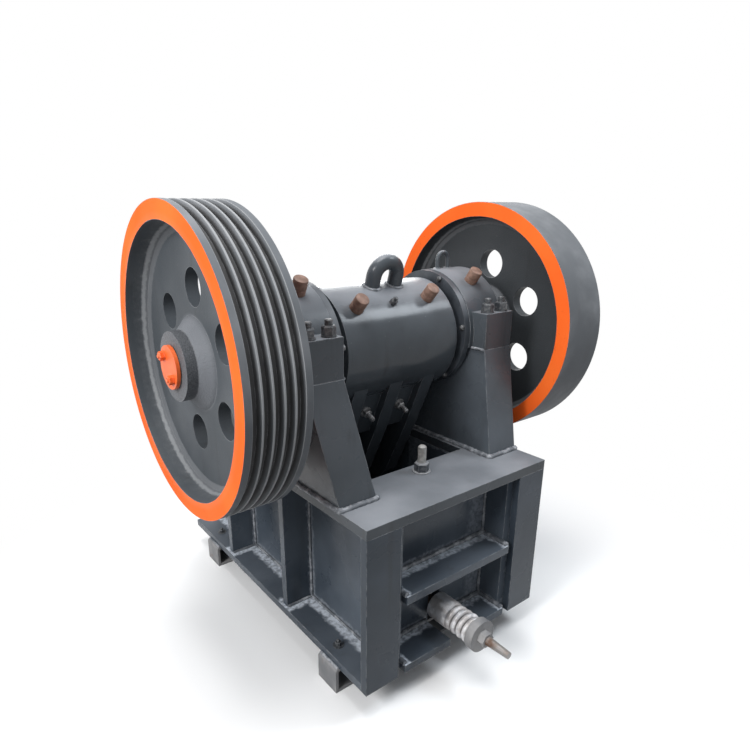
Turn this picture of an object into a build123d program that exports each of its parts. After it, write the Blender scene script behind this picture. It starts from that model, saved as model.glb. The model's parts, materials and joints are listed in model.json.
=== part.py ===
"""Single-toggle jaw crusher with a grooved drive pulley and a plain flywheel.

Units are millimetres.  X runs along the shaft, with the pulley at -X.
The tension rod leaves the machine at the rear, -Y.  The feed mouth is at +Y.
Z = 0 is the floor under the two foot channels.
"""
import os
from math import atan2, cos, degrees, radians, sin, sqrt

from build123d import *

os.makedirs("parts", exist_ok=True)

# Main sizes
wheel_radius = 410.0
wheel_width = 170.0
shaft_height = 983.0
frame_half_width = 362.0
frame_rear = -451.0
frame_front = 731.0
foot_height = 85.0
ledge_top = 609.0
flange_width = 145.0
chamber_half_width = frame_half_width - flange_width
wheel_outer_x = frame_half_width + 288.0

# Plates of the frame
flange_thickness = 25.0
side_thickness = 35.0
end_plate_thickness = 25.0
ledge_thickness = 30.0
rib_thickness = 25.0
wall_thickness = 30.0

# Running fits
shaft_clearance = 0.05
seat_clearance = 0.3
moving_clearance = 5.5

# Eccentric drive
eccentricity = 10.0
journal_radius = 55.0
eccentric_radius = 75.0
barrel_radius = 181.0
barrel_half_length = chamber_half_width - 2.0

flange_top = foot_height + flange_thickness
ledge_bottom = ledge_top - ledge_thickness
side_outer = chamber_half_width + side_thickness
frame_rear_inner = frame_rear + end_plate_thickness
barrel_height = shaft_height - eccentricity
block_bottom = shaft_height - 42.0
block_top = shaft_height + 72.0

# Foot channels, open towards the rear
foot_half_length = frame_half_width + 12.0
foot_width = 94.0
foot_wall = 10.0
rear_foot_y = -274.0
front_foot_y = 552.0

with BuildPart() as rear_foot:
    with Locations((0, rear_foot_y, foot_height / 2)):
        Box(2 * foot_half_length, foot_width, foot_height)
    fillet(rear_foot.edges().filter_by(Axis.Y).group_by(Axis.Z)[-1], radius=foot_wall)
    with Locations((0, rear_foot_y - foot_wall, foot_height / 2)):
        Box(
            2 * (foot_half_length - foot_wall),
            foot_width,
            foot_height - 2 * foot_wall,
            mode=Mode.SUBTRACT,
        )
rear_foot.part.label = "rear_foot"

with BuildPart() as front_foot:
    add(rear_foot.part.moved(Location((0, front_foot_y - rear_foot_y, 0))))
front_foot.part.label = "front_foot"

# Base flanges and side plates
with BuildPart() as left_base_flange:
    with BuildSketch(Plane.XY.offset(foot_height)):
        with Locations((-chamber_half_width, frame_rear_inner)):
            Rectangle(flange_width, frame_front - frame_rear_inner, align=(Align.MAX, Align.MIN))
    extrude(amount=flange_thickness)
left_base_flange.part.label = "left_base_flange"

with BuildPart() as right_base_flange:
    add(mirror(left_base_flange.part, about=Plane.YZ))
right_base_flange.part.label = "right_base_flange"

side_front_bottom = frame_front - 6.0
side_front_top = frame_front - 82.0
with BuildPart() as left_side_plate:
    with BuildSketch(Plane.YZ.offset(-side_outer)):
        with BuildLine():
            Polyline(
                (frame_rear_inner, flange_top),
                (side_front_bottom, flange_top),
                (side_front_top, ledge_bottom),
                (frame_rear_inner, ledge_bottom),
                close=True,
            )
        make_face()
    extrude(amount=side_thickness)
left_side_plate.part.label = "left_side_plate"

with BuildPart() as right_side_plate:
    add(mirror(left_side_plate.part, about=Plane.YZ))
right_side_plate.part.label = "right_side_plate"

# Rear end plates, one behind each side plate
column_inner = chamber_half_width + 27.0
with BuildPart() as left_rear_end_plate:
    with BuildSketch(Plane.XY.offset(foot_height)):
        with Locations((-frame_half_width, frame_rear)):
            Rectangle(
                frame_half_width - column_inner,
                end_plate_thickness,
                align=(Align.MIN, Align.MIN),
            )
    extrude(amount=ledge_bottom - foot_height)
left_rear_end_plate.part.label = "left_rear_end_plate"

with BuildPart() as right_rear_end_plate:
    add(mirror(left_rear_end_plate.part, about=Plane.YZ))
right_rear_end_plate.part.label = "right_rear_end_plate"

# Ledge plate: rear top plate with an arm along each side
arm_front = 600.0
top_plate_front = -225.0
with BuildPart() as top_plate:
    with BuildSketch(Plane.XY.offset(ledge_bottom)):
        with Locations((0, frame_rear)):
            Rectangle(
                2 * frame_half_width,
                arm_front - frame_rear,
                align=(Align.CENTER, Align.MIN),
            )
        with Locations((0, top_plate_front)):
            Rectangle(
                2 * chamber_half_width,
                arm_front - top_plate_front,
                align=(Align.CENTER, Align.MIN),
                mode=Mode.SUBTRACT,
            )
    extrude(amount=ledge_thickness)
top_plate.part.label = "top_plate"

# Rear wall with the slot for the tension rod
rod_height = foot_height + 83.0
rod_radius = 14.0
rear_wall_face = -340.0
slot_half_width = rod_radius + moving_clearance + 4.0
slot_top = rod_height + rod_radius + 2 * eccentricity + moving_clearance
with BuildPart() as rear_wall:
    with BuildSketch(Plane.XY.offset(flange_top)):
        with Locations((0, rear_wall_face)):
            Rectangle(2 * chamber_half_width, wall_thickness, align=(Align.CENTER, Align.MIN))
    extrude(amount=ledge_bottom - flange_top)
    with Locations((0, rear_wall_face, flange_top)):
        Box(
            2 * slot_half_width,
            4 * wall_thickness,
            slot_top - flange_top,
            align=(Align.CENTER, Align.CENTER, Align.MIN),
            mode=Mode.SUBTRACT,
        )
rear_wall.part.label = "rear_wall"

# Shelf across the rear recess, and the two plates below it
recess_depth = rear_wall_face - frame_rear
shelf_top = foot_height + 262.0
shelf_thickness = 26.0
with BuildPart() as rear_shelf:
    with Locations((0, frame_rear, shelf_top)):
        Box(
            2 * chamber_half_width,
            recess_depth,
            shelf_thickness,
            align=(Align.CENTER, Align.MIN, Align.MAX),
        )
rear_shelf.part.label = "rear_shelf"

rod_gap_half_width = 30.0
with BuildPart() as left_bottom_plate:
    with BuildSketch(Plane.XY.offset(foot_height)):
        with Locations((-chamber_half_width, frame_rear)):
            Rectangle(
                chamber_half_width - rod_gap_half_width,
                recess_depth + wall_thickness,
                align=(Align.MIN, Align.MIN),
            )
    extrude(amount=flange_thickness)
left_bottom_plate.part.label = "left_bottom_plate"

with BuildPart() as right_bottom_plate:
    add(mirror(left_bottom_plate.part, about=Plane.YZ))
right_bottom_plate.part.label = "right_bottom_plate"

# Side ribs between flange and ledge
rib_outer = frame_half_width - 9.0
rear_rib_spacing, front_rib_spacing = 264.0, 152.0
with BuildPart() as left_side_ribs:
    with BuildSketch(Plane.XY.offset(flange_top)):
        with Locations(
            (-side_outer, rear_foot_y + rear_rib_spacing),
            (-side_outer, front_foot_y - front_rib_spacing),
        ):
            Rectangle(rib_outer - side_outer, rib_thickness, align=(Align.MAX, Align.MIN))
    extrude(amount=ledge_bottom - flange_top)
left_side_ribs.part.label = "left_side_ribs"

with BuildPart() as right_side_ribs:
    add(mirror(left_side_ribs.part, about=Plane.YZ))
right_side_ribs.part.label = "right_side_ribs"

# Hollow bearing pedestals leaning outwards and narrowing upwards
pedestal_wall = 25.0
foot_inner, foot_outer, foot_reach = chamber_half_width + 17.0, frame_half_width - 3.0, 333.0
inner_lean, outer_lean = 44.0, 43.0
head_inner, head_outer, head_reach = foot_inner + inner_lean, foot_outer + outer_lean, 245.0
foot_mid = (foot_inner + foot_outer) / 2
head_mid = (head_inner + head_outer) / 2
shaft_notch = journal_radius + 8.0
with BuildPart() as left_pedestal:
    with BuildSketch(Plane.XY.offset(ledge_top)):
        with Locations((-foot_mid, 0)):
            Rectangle(foot_outer - foot_inner, 2 * foot_reach)
    with BuildSketch(Plane.XY.offset(block_bottom)):
        with Locations((-head_mid, 0)):
            Rectangle(head_outer - head_inner, 2 * head_reach)
    loft(ruled=True)
    with BuildSketch(Plane.XY.offset(ledge_top)):
        with Locations((-foot_mid, 0)):
            Rectangle(foot_outer - foot_inner - 2 * pedestal_wall, 2 * (foot_reach - pedestal_wall))
    with BuildSketch(Plane.XY.offset(block_bottom)):
        with Locations((-head_mid, 0)):
            Rectangle(head_outer - head_inner - 2 * pedestal_wall, 2 * (head_reach - pedestal_wall))
    loft(ruled=True, mode=Mode.SUBTRACT)
    with Locations((-head_mid, 0, shaft_height)):
        Cylinder(shaft_notch, 300.0, rotation=(0, 90, 0), mode=Mode.SUBTRACT)
left_pedestal.part.label = "left_pedestal"

with BuildPart() as right_pedestal:
    add(mirror(left_pedestal.part, about=Plane.YZ))
right_pedestal.part.label = "right_pedestal"

# Bearing housings: block with a round cap above and a saddle inside the pedestal
cap_radius = 195.0
cap_inner, cap_outer = head_inner - 16.0, head_outer + 12.0
cap_mid = (cap_inner + cap_outer) / 2
saddle_radius = 150.0
saddle_drop = saddle_radius - (shaft_height - block_bottom)
saddle_shift = (head_mid - foot_mid) * saddle_drop / (block_bottom - ledge_top)
saddle_width = head_outer - head_inner - 2 * pedestal_wall - saddle_shift - 6.0
saddle_mid = head_mid - saddle_shift / 2
housing_bore = journal_radius + shaft_clearance
with BuildPart() as left_bearing_housing:
    with Locations((-cap_mid, 0, shaft_height)):
        Cylinder(cap_radius, cap_outer - cap_inner, rotation=(0, 90, 0))
    with Locations((0, 0, block_bottom)):
        Box(
            4 * cap_outer,
            4 * cap_radius,
            2 * cap_radius,
            align=(Align.CENTER, Align.CENTER, Align.MAX),
            mode=Mode.SUBTRACT,
        )
    with Locations((-head_mid, 0, block_bottom)):
        Box(
            head_outer - head_inner,
            2 * head_reach,
            block_top - block_bottom,
            align=(Align.CENTER, Align.CENTER, Align.MIN),
        )
    with Locations((-saddle_mid, 0, shaft_height)):
        Cylinder(saddle_radius, saddle_width, rotation=(0, 90, 0))
    with Locations((-head_mid, 0, shaft_height)):
        Cylinder(housing_bore, 400.0, rotation=(0, 90, 0), mode=Mode.SUBTRACT)
left_bearing_housing.part.label = "left_bearing_housing"

with BuildPart() as right_bearing_housing:
    add(mirror(left_bearing_housing.part, about=Plane.YZ))
right_bearing_housing.part.label = "right_bearing_housing"

# Upper chamber walls in front of the pedestals
upper_wall_front = arm_front
with BuildPart() as left_upper_wall:
    with BuildSketch(Plane.XY.offset(ledge_top)):
        with Locations((-foot_inner, foot_reach)):
            Rectangle(wall_thickness, upper_wall_front - foot_reach, align=(Align.MAX, Align.MIN))
    with BuildSketch(Plane.XY.offset(block_bottom)):
        with Locations((-head_inner, head_reach)):
            Rectangle(wall_thickness, upper_wall_front - head_reach, align=(Align.MAX, Align.MIN))
    loft(ruled=True)
left_upper_wall.part.label = "left_upper_wall"

with BuildPart() as right_upper_wall:
    add(mirror(left_upper_wall.part, about=Plane.YZ))
right_upper_wall.part.label = "right_upper_wall"

# Front wall and its outer ribs
front_wall_face = 500.0
front_wall_thickness = 40.0
front_wall_back = front_wall_face + front_wall_thickness
with BuildPart() as front_wall:
    with BuildSketch(Plane.XZ.offset(-front_wall_back)):
        with BuildLine():
            Polyline(
                (-chamber_half_width, foot_height),
                (chamber_half_width, foot_height),
                (chamber_half_width, ledge_top),
                (foot_inner, ledge_top),
                (head_inner, block_bottom),
                (-head_inner, block_bottom),
                (-foot_inner, ledge_top),
                (-chamber_half_width, ledge_top),
                close=True,
            )
        make_face()
    extrude(amount=front_wall_thickness)
front_wall.part.label = "front_wall"

front_rib_reach = upper_wall_front - 10.0 - front_wall_back
with BuildPart() as front_ribs:
    for rib_base in (foot_height + 95.0, ledge_bottom - 149.0):
        with Locations((0, front_wall_back, rib_base)):
            Box(
                2 * chamber_half_width,
                front_rib_reach,
                rib_thickness,
                align=(Align.CENTER, Align.MIN, Align.MIN),
            )
    for rib_base in (ledge_top + 71.0, block_bottom - rib_thickness):
        rib_half = foot_inner + (head_inner - foot_inner) * (rib_base - ledge_top) / (
            block_bottom - ledge_top
        )
        with Locations((0, front_wall_back, rib_base)):
            Box(
                2 * rib_half,
                front_rib_reach,
                rib_thickness,
                align=(Align.CENTER, Align.MIN, Align.MIN),
            )
front_ribs.part.label = "front_ribs"

# Jaw plates with upright teeth
tooth_pitch = 40.0
tooth_count = int((2 * chamber_half_width - 50.0) / tooth_pitch)
tooth_height = 18.0
jaw_base = 32.0
jaw_thickness = jaw_base + tooth_height
fixed_jaw_bottom = foot_height + 115.0
fixed_jaw_top = block_bottom - 41.0
fixed_jaw_half_width = chamber_half_width - 18.0
with BuildPart() as fixed_jaw_plate:
    with BuildSketch(Plane.XY.offset(fixed_jaw_bottom)):
        with Locations((0, front_wall_face)):
            Rectangle(2 * fixed_jaw_half_width, jaw_base, align=(Align.CENTER, Align.MAX))
        with Locations((0, front_wall_face - jaw_base)):
            with GridLocations(tooth_pitch, 1, tooth_count, 1):
                Trapezoid(tooth_pitch - 4, tooth_height, 55, rotation=180, align=(Align.CENTER, Align.MIN))
    extrude(amount=fixed_jaw_top - fixed_jaw_bottom)
fixed_jaw_plate.part.label = "fixed_jaw_plate"

# The moving jaw leans from its foot at the discharge to the front of the barrel
discharge_setting = 50.0
jaw_drop, jaw_gap = 95.0, 6.0
jaw_foot_y = front_wall_face - 2 * jaw_thickness - discharge_setting
jaw_foot_z = fixed_jaw_bottom + 15.0
jaw_top_y = sqrt(barrel_radius**2 - jaw_drop**2) + jaw_gap
jaw_top_z = barrel_height - jaw_drop
jaw_length = sqrt((jaw_foot_y - jaw_top_y) ** 2 + (jaw_top_z - jaw_foot_z) ** 2)
lean_sin, lean_cos = (jaw_foot_y - jaw_top_y) / jaw_length, (jaw_top_z - jaw_foot_z) / jaw_length
jaw_plane = Plane(origin=(0, jaw_foot_y, jaw_foot_z), x_dir=(1, 0, 0), z_dir=(0, -lean_sin, lean_cos))
moving_jaw_half_width = chamber_half_width - 22.0
with BuildPart() as moving_jaw_plate:
    with BuildSketch(jaw_plane):
        Rectangle(2 * moving_jaw_half_width, jaw_base, align=(Align.CENTER, Align.MIN))
        with Locations((0, jaw_base)):
            with GridLocations(tooth_pitch, 1, tooth_count, 1):
                Trapezoid(tooth_pitch - 4, tooth_height, 55, align=(Align.CENTER, Align.MIN))
    extrude(amount=jaw_length)
moving_jaw_plate.part.label = "moving_jaw_plate"

# Cheek plates on the side plates between the jaws
cheek_thickness = 16.0
cheek_bottom, cheek_top = jaw_foot_z + 25.0, ledge_bottom - 4.0
cheek_overlap = 18.0
cheek_rear = [
    jaw_foot_y - cheek_overlap - (edge_z - jaw_foot_z) * lean_sin / lean_cos
    for edge_z in (cheek_bottom, cheek_top)
]
with BuildPart() as left_cheek_plate:
    with BuildSketch(Plane.YZ.offset(-chamber_half_width)):
        with BuildLine():
            Polyline(
                (cheek_rear[0], cheek_bottom),
                (front_wall_face - 1.0, cheek_bottom),
                (front_wall_face - 1.0, cheek_top),
                (cheek_rear[1], cheek_top),
                close=True,
            )
        make_face()
    extrude(amount=cheek_thickness)
left_cheek_plate.part.label = "left_cheek_plate"

with BuildPart() as right_cheek_plate:
    add(mirror(left_cheek_plate.part, about=Plane.YZ))
right_cheek_plate.part.label = "right_cheek_plate"

# Pitman: barrel on the eccentric, back plate, three webs, rear skin and the toggle end
pitman_half_width = chamber_half_width - 27.0
back_plate_thickness = 50.0
back_plate_reach = jaw_length - 130.0
toggle_face = jaw_foot_y - 154.0
toggle_end_bottom, toggle_end_top = jaw_foot_z - 10.0, jaw_foot_z + 115.0
toggle_end_step = jaw_foot_z + 75.0
pin_y, pin_radius = jaw_foot_y - 110.0, 13.0
lug_radius = 30.0
rod_eye_half = 16.0
lug_thickness = 20.0
lug_height = toggle_end_bottom + 23.0 - rod_height
web_thickness = 50.0
web_positions = (52.0 - pitman_half_width, 0.0, pitman_half_width - 52.0)
web_start = radians(121.0)
web_start_y = -(barrel_radius - 5.0) * sin(web_start)
web_start_z = barrel_height + (barrel_radius - 5.0) * cos(web_start)
web_rear_edge = [
    (
        web_start_y + share * (toggle_face - web_start_y) - bulge,
        web_start_z + share * (toggle_end_step - web_start_z),
    )
    for share, bulge in ((0.71, 52.0), (0.35, 32.0), (0.0, 0.0))
]
skin_setback, skin_thickness = 27.0, 30.0
skin_end_y, skin_end_z = web_rear_edge[1][0] + skin_setback, web_rear_edge[1][1]
plug_places = ((67.0 - barrel_half_length, 45.0), (barrel_half_length - 82.0, 42.0))
plug_radius, plug_length = 21.0, 45.0
seat_sink = 4.0
eye_bar, eye_bend, eye_leg = 21.0, 44.0, 32.0
eye_x, eye_angle = 12.0, 17.0
bar_sides = 16
seat_radius = barrel_radius - seat_sink
eye_plane = Plane(
    origin=(
        eye_x,
        -seat_radius * sin(radians(eye_angle)),
        barrel_height + seat_radius * cos(radians(eye_angle)),
    ),
    x_dir=(1, 0, 0),
    z_dir=(0, -cos(radians(eye_angle)), -sin(radians(eye_angle))),
)
eye_seat_plane = Plane(
    origin=eye_plane.origin,
    x_dir=(1, 0, 0),
    z_dir=(0, -sin(radians(eye_angle)), cos(radians(eye_angle))),
)
with BuildPart() as pitman:
    with Locations((0, 0, barrel_height)):
        Cylinder(barrel_radius, 2 * barrel_half_length, rotation=(0, 90, 0))
    with BuildSketch(jaw_plane):
        Rectangle(2 * pitman_half_width, back_plate_thickness, align=(Align.CENTER, Align.MAX))
    extrude(amount=back_plate_reach)
    with BuildSketch(jaw_plane.offset(-28.0)):
        with Locations((0, -back_plate_thickness)):
            Rectangle(2 * pitman_half_width, back_plate_thickness + jaw_base, align=(Align.CENTER, Align.MIN))
    extrude(amount=28.0)
    for web_x in web_positions:
        with BuildSketch(Plane.YZ.offset(web_x - web_thickness / 2)):
            with BuildLine():
                Polyline(
                    (jaw_top_y - 40.0, jaw_top_z - 30.0),
                    (jaw_foot_y - 50.0, toggle_end_bottom + 55.0),
                    (toggle_face, toggle_end_step - 10.0),
                    *web_rear_edge,
                    close=True,
                )
            make_face()
        extrude(amount=web_thickness)
    with BuildSketch(Plane.YZ.offset(-pitman_half_width)):
        with BuildLine():
            Polyline(
                (web_start_y + skin_setback, web_start_z),
                (skin_end_y, skin_end_z),
                (skin_end_y + skin_thickness, skin_end_z),
                (web_start_y + skin_setback + skin_thickness, web_start_z),
                close=True,
            )
        make_face()
    extrude(amount=2 * pitman_half_width)
    with BuildSketch(Plane.YZ.offset(-pitman_half_width)):
        with BuildLine():
            Polyline(
                (toggle_face, toggle_end_bottom),
                (jaw_foot_y - 45.0, toggle_end_bottom),
                (jaw_foot_y - 50.0, toggle_end_top),
                (jaw_foot_y - 110.0, toggle_end_top),
                (toggle_face, toggle_end_step),
                close=True,
            )
        make_face()
    extrude(amount=2 * pitman_half_width)
    for lug_x in (-rod_eye_half - lug_thickness - seat_clearance, rod_eye_half + seat_clearance):
        with BuildSketch(Plane.YZ.offset(lug_x)):
            with Locations((pin_y, rod_height)):
                Circle(lug_radius)
            with Locations((pin_y, rod_height)):
                Rectangle(2 * lug_radius, lug_height, align=(Align.CENTER, Align.MIN))
            with Locations((pin_y, rod_height)):
                Circle(pin_radius + seat_clearance, mode=Mode.SUBTRACT)
        extrude(amount=lug_thickness)
    for plug_x, plug_angle in plug_places:
        plug_plane = Plane(
            origin=(plug_x, 0, barrel_height),
            x_dir=(1, 0, 0),
            z_dir=(0, -sin(radians(plug_angle)), cos(radians(plug_angle))),
        )
        with BuildSketch(plug_plane.offset(seat_radius)):
            Circle(plug_radius + seat_clearance)
        extrude(amount=2 * seat_sink, mode=Mode.SUBTRACT)
    with BuildSketch(eye_seat_plane):
        with Locations((-eye_bend, 0), (eye_bend, 0)):
            Circle(eye_bar + seat_clearance)
    extrude(amount=2 * seat_sink, mode=Mode.SUBTRACT)
    with Locations((0, 0, barrel_height)):
        Cylinder(
            eccentric_radius + shaft_clearance,
            3 * barrel_half_length,
            rotation=(0, 90, 0),
            mode=Mode.SUBTRACT,
        )
pitman.part.label = "pitman"

# Filler caps on the barrel
with BuildPart() as pitman_plugs:
    for plug_x, plug_angle in plug_places:
        plug_plane = Plane(
            origin=(plug_x, 0, barrel_height),
            x_dir=(1, 0, 0),
            z_dir=(0, -sin(radians(plug_angle)), cos(radians(plug_angle))),
        )
        with BuildSketch(plug_plane.offset(seat_radius)):
            Circle(plug_radius)
        extrude(amount=seat_sink + plug_length)
pitman_plugs.part.label = "pitman_plugs"

# Seal rings on the inner ends of the bearing housings
seal_radius, seal_thickness = cap_radius - 2.0, 22.0
seal_bore = journal_radius + 12.0
with BuildPart() as left_seal_ring:
    with BuildSketch(Plane.YZ.offset(-cap_inner)):
        with Locations((0, shaft_height)):
            Circle(seal_radius)
            Circle(seal_bore, mode=Mode.SUBTRACT)
    extrude(amount=seal_thickness)
    add(left_pedestal.part, mode=Mode.SUBTRACT)
left_seal_ring.part.label = "left_seal_ring"

with BuildPart() as right_seal_ring:
    add(mirror(left_seal_ring.part, about=Plane.YZ))
right_seal_ring.part.label = "right_seal_ring"

# Lifting eye bent from round bar
with BuildPart() as lifting_eye:
    with BuildLine(eye_plane) as eye_path:
        Line((-eye_bend, 0), (-eye_bend, eye_leg))
        CenterArc((0, eye_leg), eye_bend, 180, -180)
        Line((eye_bend, eye_leg), (eye_bend, 0))
    with BuildSketch(Plane(origin=eye_path.line @ 0, z_dir=eye_path.line % 0)):
        RegularPolygon(eye_bar, bar_sides)
    sweep()
lifting_eye.part.label = "lifting_eye"

# Eccentric shaft
shaft_end = wheel_outer_x - 2.0
with BuildPart() as eccentric_shaft:
    with Locations((0, 0, shaft_height)):
        Cylinder(journal_radius, 2 * shaft_end, rotation=(0, 90, 0))
    with Locations((0, 0, barrel_height)):
        Cylinder(eccentric_radius, 2 * barrel_half_length - 6.0, rotation=(0, 90, 0))
eccentric_shaft.part.label = "eccentric_shaft"

# Wheels
rim_depth, rim_draft = 48.0, 4.5
rim_inner = wheel_radius - rim_depth
rim_fillet, rim_fillet_reach = 26.0, 24.0
web_corner = rim_inner - rim_fillet
fillet_waist = (rim_fillet_reach * 0.3, rim_fillet * 0.5)
wheel_web_setback, wheel_web_thickness = 68.0, 36.0
web_outer_x = wheel_outer_x - wheel_web_setback
web_inner_x = web_outer_x - wheel_web_thickness
hub_radius, hub_flare_width = 92.0, 34.0
hub_flare = hub_radius + hub_flare_width
hub_setback, hub_clearance = 5.0, 16.0
hub_outer_x, hub_inner_x = wheel_outer_x - hub_setback, cap_outer + hub_clearance
hole_radius, hole_margin, hole_count, hole_start = 50.0, 25.0, 6, 36.0
hole_pitch = hub_flare + hole_radius + hole_margin
wheel_inner_x = wheel_outer_x - wheel_width
wheel_mid_x = wheel_outer_x - wheel_width / 2
groove_count, groove_pitch, groove_depth = 5, 27.5, 17.0
groove_top, groove_slope = 23.5, 72.0
shaft_axis = Axis((0, 0, shaft_height), (1, 0, 0))
wheel_section = Plane(origin=(0, 0, shaft_height), x_dir=(1, 0, 0), z_dir=(0, -1, 0))
hole_plane = Plane.YZ.offset(web_inner_x - 20.0)

with BuildPart() as flywheel:
    with BuildSketch(wheel_section):
        with BuildLine():
            Polyline(
                (hub_inner_x, journal_radius + shaft_clearance),
                (hub_outer_x, journal_radius + shaft_clearance),
                (hub_outer_x, hub_radius),
                (web_outer_x + hub_flare_width, hub_radius),
                (web_outer_x, hub_flare),
                (web_outer_x, web_corner),
                (web_outer_x + fillet_waist[0], web_corner + fillet_waist[1]),
                (web_outer_x + rim_fillet_reach, rim_inner - rim_draft),
                (wheel_outer_x, rim_inner),
                (wheel_outer_x, wheel_radius),
                (wheel_inner_x, wheel_radius),
                (wheel_inner_x, rim_inner),
                (web_inner_x - rim_fillet_reach, rim_inner - rim_draft),
                (web_inner_x - fillet_waist[0], web_corner + fillet_waist[1]),
                (web_inner_x, web_corner),
                (web_inner_x, hub_flare),
                (web_inner_x - hub_flare_width, hub_radius),
                (hub_inner_x, hub_radius),
                close=True,
            )
        make_face()
    revolve(axis=shaft_axis)
    with BuildSketch(hole_plane):
        with Locations((0, shaft_height)):
            with PolarLocations(hole_pitch, hole_count, start_angle=hole_start):
                Circle(hole_radius)
    extrude(amount=wheel_web_thickness + 40.0, mode=Mode.SUBTRACT)
flywheel.part.label = "flywheel"

with BuildPart() as belt_pulley:
    add(mirror(flywheel.part, about=Plane.YZ))
    with BuildSketch(wheel_section):
        with Locations((-wheel_mid_x, wheel_radius)):
            with GridLocations(groove_pitch, 1, groove_count, 1):
                Trapezoid(
                    groove_top,
                    groove_depth,
                    groove_slope,
                    rotation=180,
                    align=(Align.CENTER, Align.MIN),
                )
    revolve(axis=shaft_axis, mode=Mode.SUBTRACT)
belt_pulley.part.label = "belt_pulley"

# Keeper plates on the shaft ends
keeper_radius, keeper_thickness = 58.0, 10.0
with BuildPart() as left_keeper_plate:
    with BuildSketch(Plane.YZ.offset(-shaft_end - keeper_thickness)):
        with Locations((0, shaft_height)):
            Circle(keeper_radius)
    extrude(amount=keeper_thickness)
left_keeper_plate.part.label = "left_keeper_plate"

with BuildPart() as right_keeper_plate:
    add(mirror(left_keeper_plate.part, about=Plane.YZ))
right_keeper_plate.part.label = "right_keeper_plate"

# Toggle seat and toggle plate
toggle_rear_y, toggle_rear_z = rear_wall_face + 105.0, shelf_top - 12.0
toggle_front_z = jaw_foot_z + 35.0
toggle_radius = 18.0
toggle_half_width = chamber_half_width - 37.0
open_pivot = eccentricity + moving_clearance
seat_bottom, seat_top, seat_setback = toggle_rear_z - 55.0, toggle_rear_z + 65.0, 6.0
wall_front = rear_wall_face + wall_thickness
with BuildPart() as toggle_seat:
    with BuildSketch(Plane.YZ.offset(-chamber_half_width)):
        with Locations((wall_front, seat_bottom)):
            Rectangle(
                toggle_rear_y - seat_setback - wall_front,
                seat_top - seat_bottom,
                align=(Align.MIN, Align.MIN),
            )
        with Locations((toggle_rear_y, toggle_rear_z)):
            Circle(toggle_radius + seat_clearance, mode=Mode.SUBTRACT)
    extrude(amount=2 * chamber_half_width)
toggle_seat.part.label = "toggle_seat"

toggle_front_y = toggle_face - open_pivot - toggle_radius
toggle_run, toggle_drop = toggle_front_y - toggle_rear_y, toggle_rear_z - toggle_front_z
toggle_length = sqrt(toggle_run**2 + toggle_drop**2)
toggle_slope = -degrees(atan2(toggle_drop, toggle_run))
with BuildPart() as toggle_plate:
    with BuildSketch(Plane.YZ.offset(-toggle_half_width)):
        with Locations(((toggle_front_y + toggle_rear_y) / 2, (toggle_front_z + toggle_rear_z) / 2)):
            SlotCenterToCenter(toggle_length, 2 * toggle_radius, rotation=toggle_slope)
    extrude(amount=2 * toggle_half_width)
toggle_plate.part.label = "toggle_plate"

# Tension rod, spring and collar
rod_end = -645.0
collar_rear = -547.0
collar_thickness, collar_radius = 26.0, 50.0
collar_front = collar_rear + collar_thickness
nut_length = 22.0
taper_start = collar_rear - nut_length
rod_tip_radius = 10.5
rod_axis_plane = Plane(origin=(0, 0, rod_height), x_dir=(1, 0, 0), z_dir=(0, -1, 0))
with BuildPart() as tension_rod:
    with BuildSketch(rod_axis_plane.offset(-pin_y + 20.0)):
        Circle(rod_radius)
    extrude(amount=pin_y - 20.0 - taper_start)
    with Locations((0, (taper_start + rod_end) / 2, rod_height)):
        Cone(rod_radius, rod_tip_radius, taper_start - rod_end, rotation=(90, 0, 0))
    with BuildSketch(Plane.YZ.offset(-rod_eye_half)):
        with Locations((pin_y, rod_height)):
            Circle(lug_radius - 2.0)
            Circle(pin_radius + seat_clearance, mode=Mode.SUBTRACT)
    extrude(amount=2 * rod_eye_half)
tension_rod.part.label = "tension_rod"

with BuildPart() as rod_pin:
    with Locations((0, pin_y, rod_height)):
        Cylinder(
            pin_radius,
            2 * (rod_eye_half + lug_thickness) + 10.0,
            rotation=(0, 90, 0),
        )
rod_pin.part.label = "rod_pin"

with BuildPart() as rod_collar:
    with BuildSketch(rod_axis_plane.offset(-collar_front)):
        Circle(collar_radius)
        Circle(rod_radius + seat_clearance, mode=Mode.SUBTRACT)
    extrude(amount=collar_thickness)
    with BuildSketch(rod_axis_plane.offset(-collar_rear)):
        RegularPolygon(24.0, 6)
        Circle(rod_radius + seat_clearance, mode=Mode.SUBTRACT)
    extrude(amount=nut_length)
rod_collar.part.label = "rod_collar"

spring_radius, spring_wire = 37.0, 7.0
spring_front = rear_wall_face - open_pivot
spring_cup_end = spring_front - 74.0
cup_wall = spring_wire
with BuildPart() as tension_spring:
    with BuildSketch(rod_axis_plane.offset(-spring_front)):
        Circle(spring_radius + cup_wall)
        Circle(spring_radius - spring_wire, mode=Mode.SUBTRACT)
    extrude(amount=spring_front - spring_cup_end)
    with BuildSketch(rod_axis_plane.offset(-spring_cup_end)):
        Circle(spring_radius + spring_wire - 1.0)
        Circle(spring_radius - spring_wire, mode=Mode.SUBTRACT)
    extrude(amount=spring_cup_end - collar_front)
tension_spring.part.label = "tension_spring"

# Upright adjusting stud with nut on the rear top plate
stud_x, stud_y, stud_radius, stud_height = -11.0, -275.0, 13.0, 84.0
with BuildPart() as adjusting_stud:
    with BuildSketch(Plane.XY.offset(ledge_top)):
        with Locations((stud_x, stud_y)):
            Circle(28.0)
    extrude(amount=4.0)
    with BuildSketch(Plane.XY.offset(ledge_top + 4.0)):
        with Locations((stud_x, stud_y)):
            RegularPolygon(23.0, 6)
    extrude(amount=28.0)
    with BuildSketch(Plane.XY.offset(ledge_top)):
        with Locations((stud_x, stud_y)):
            Circle(stud_radius)
    extrude(amount=stud_height)
adjusting_stud.part.label = "adjusting_stud"

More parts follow.
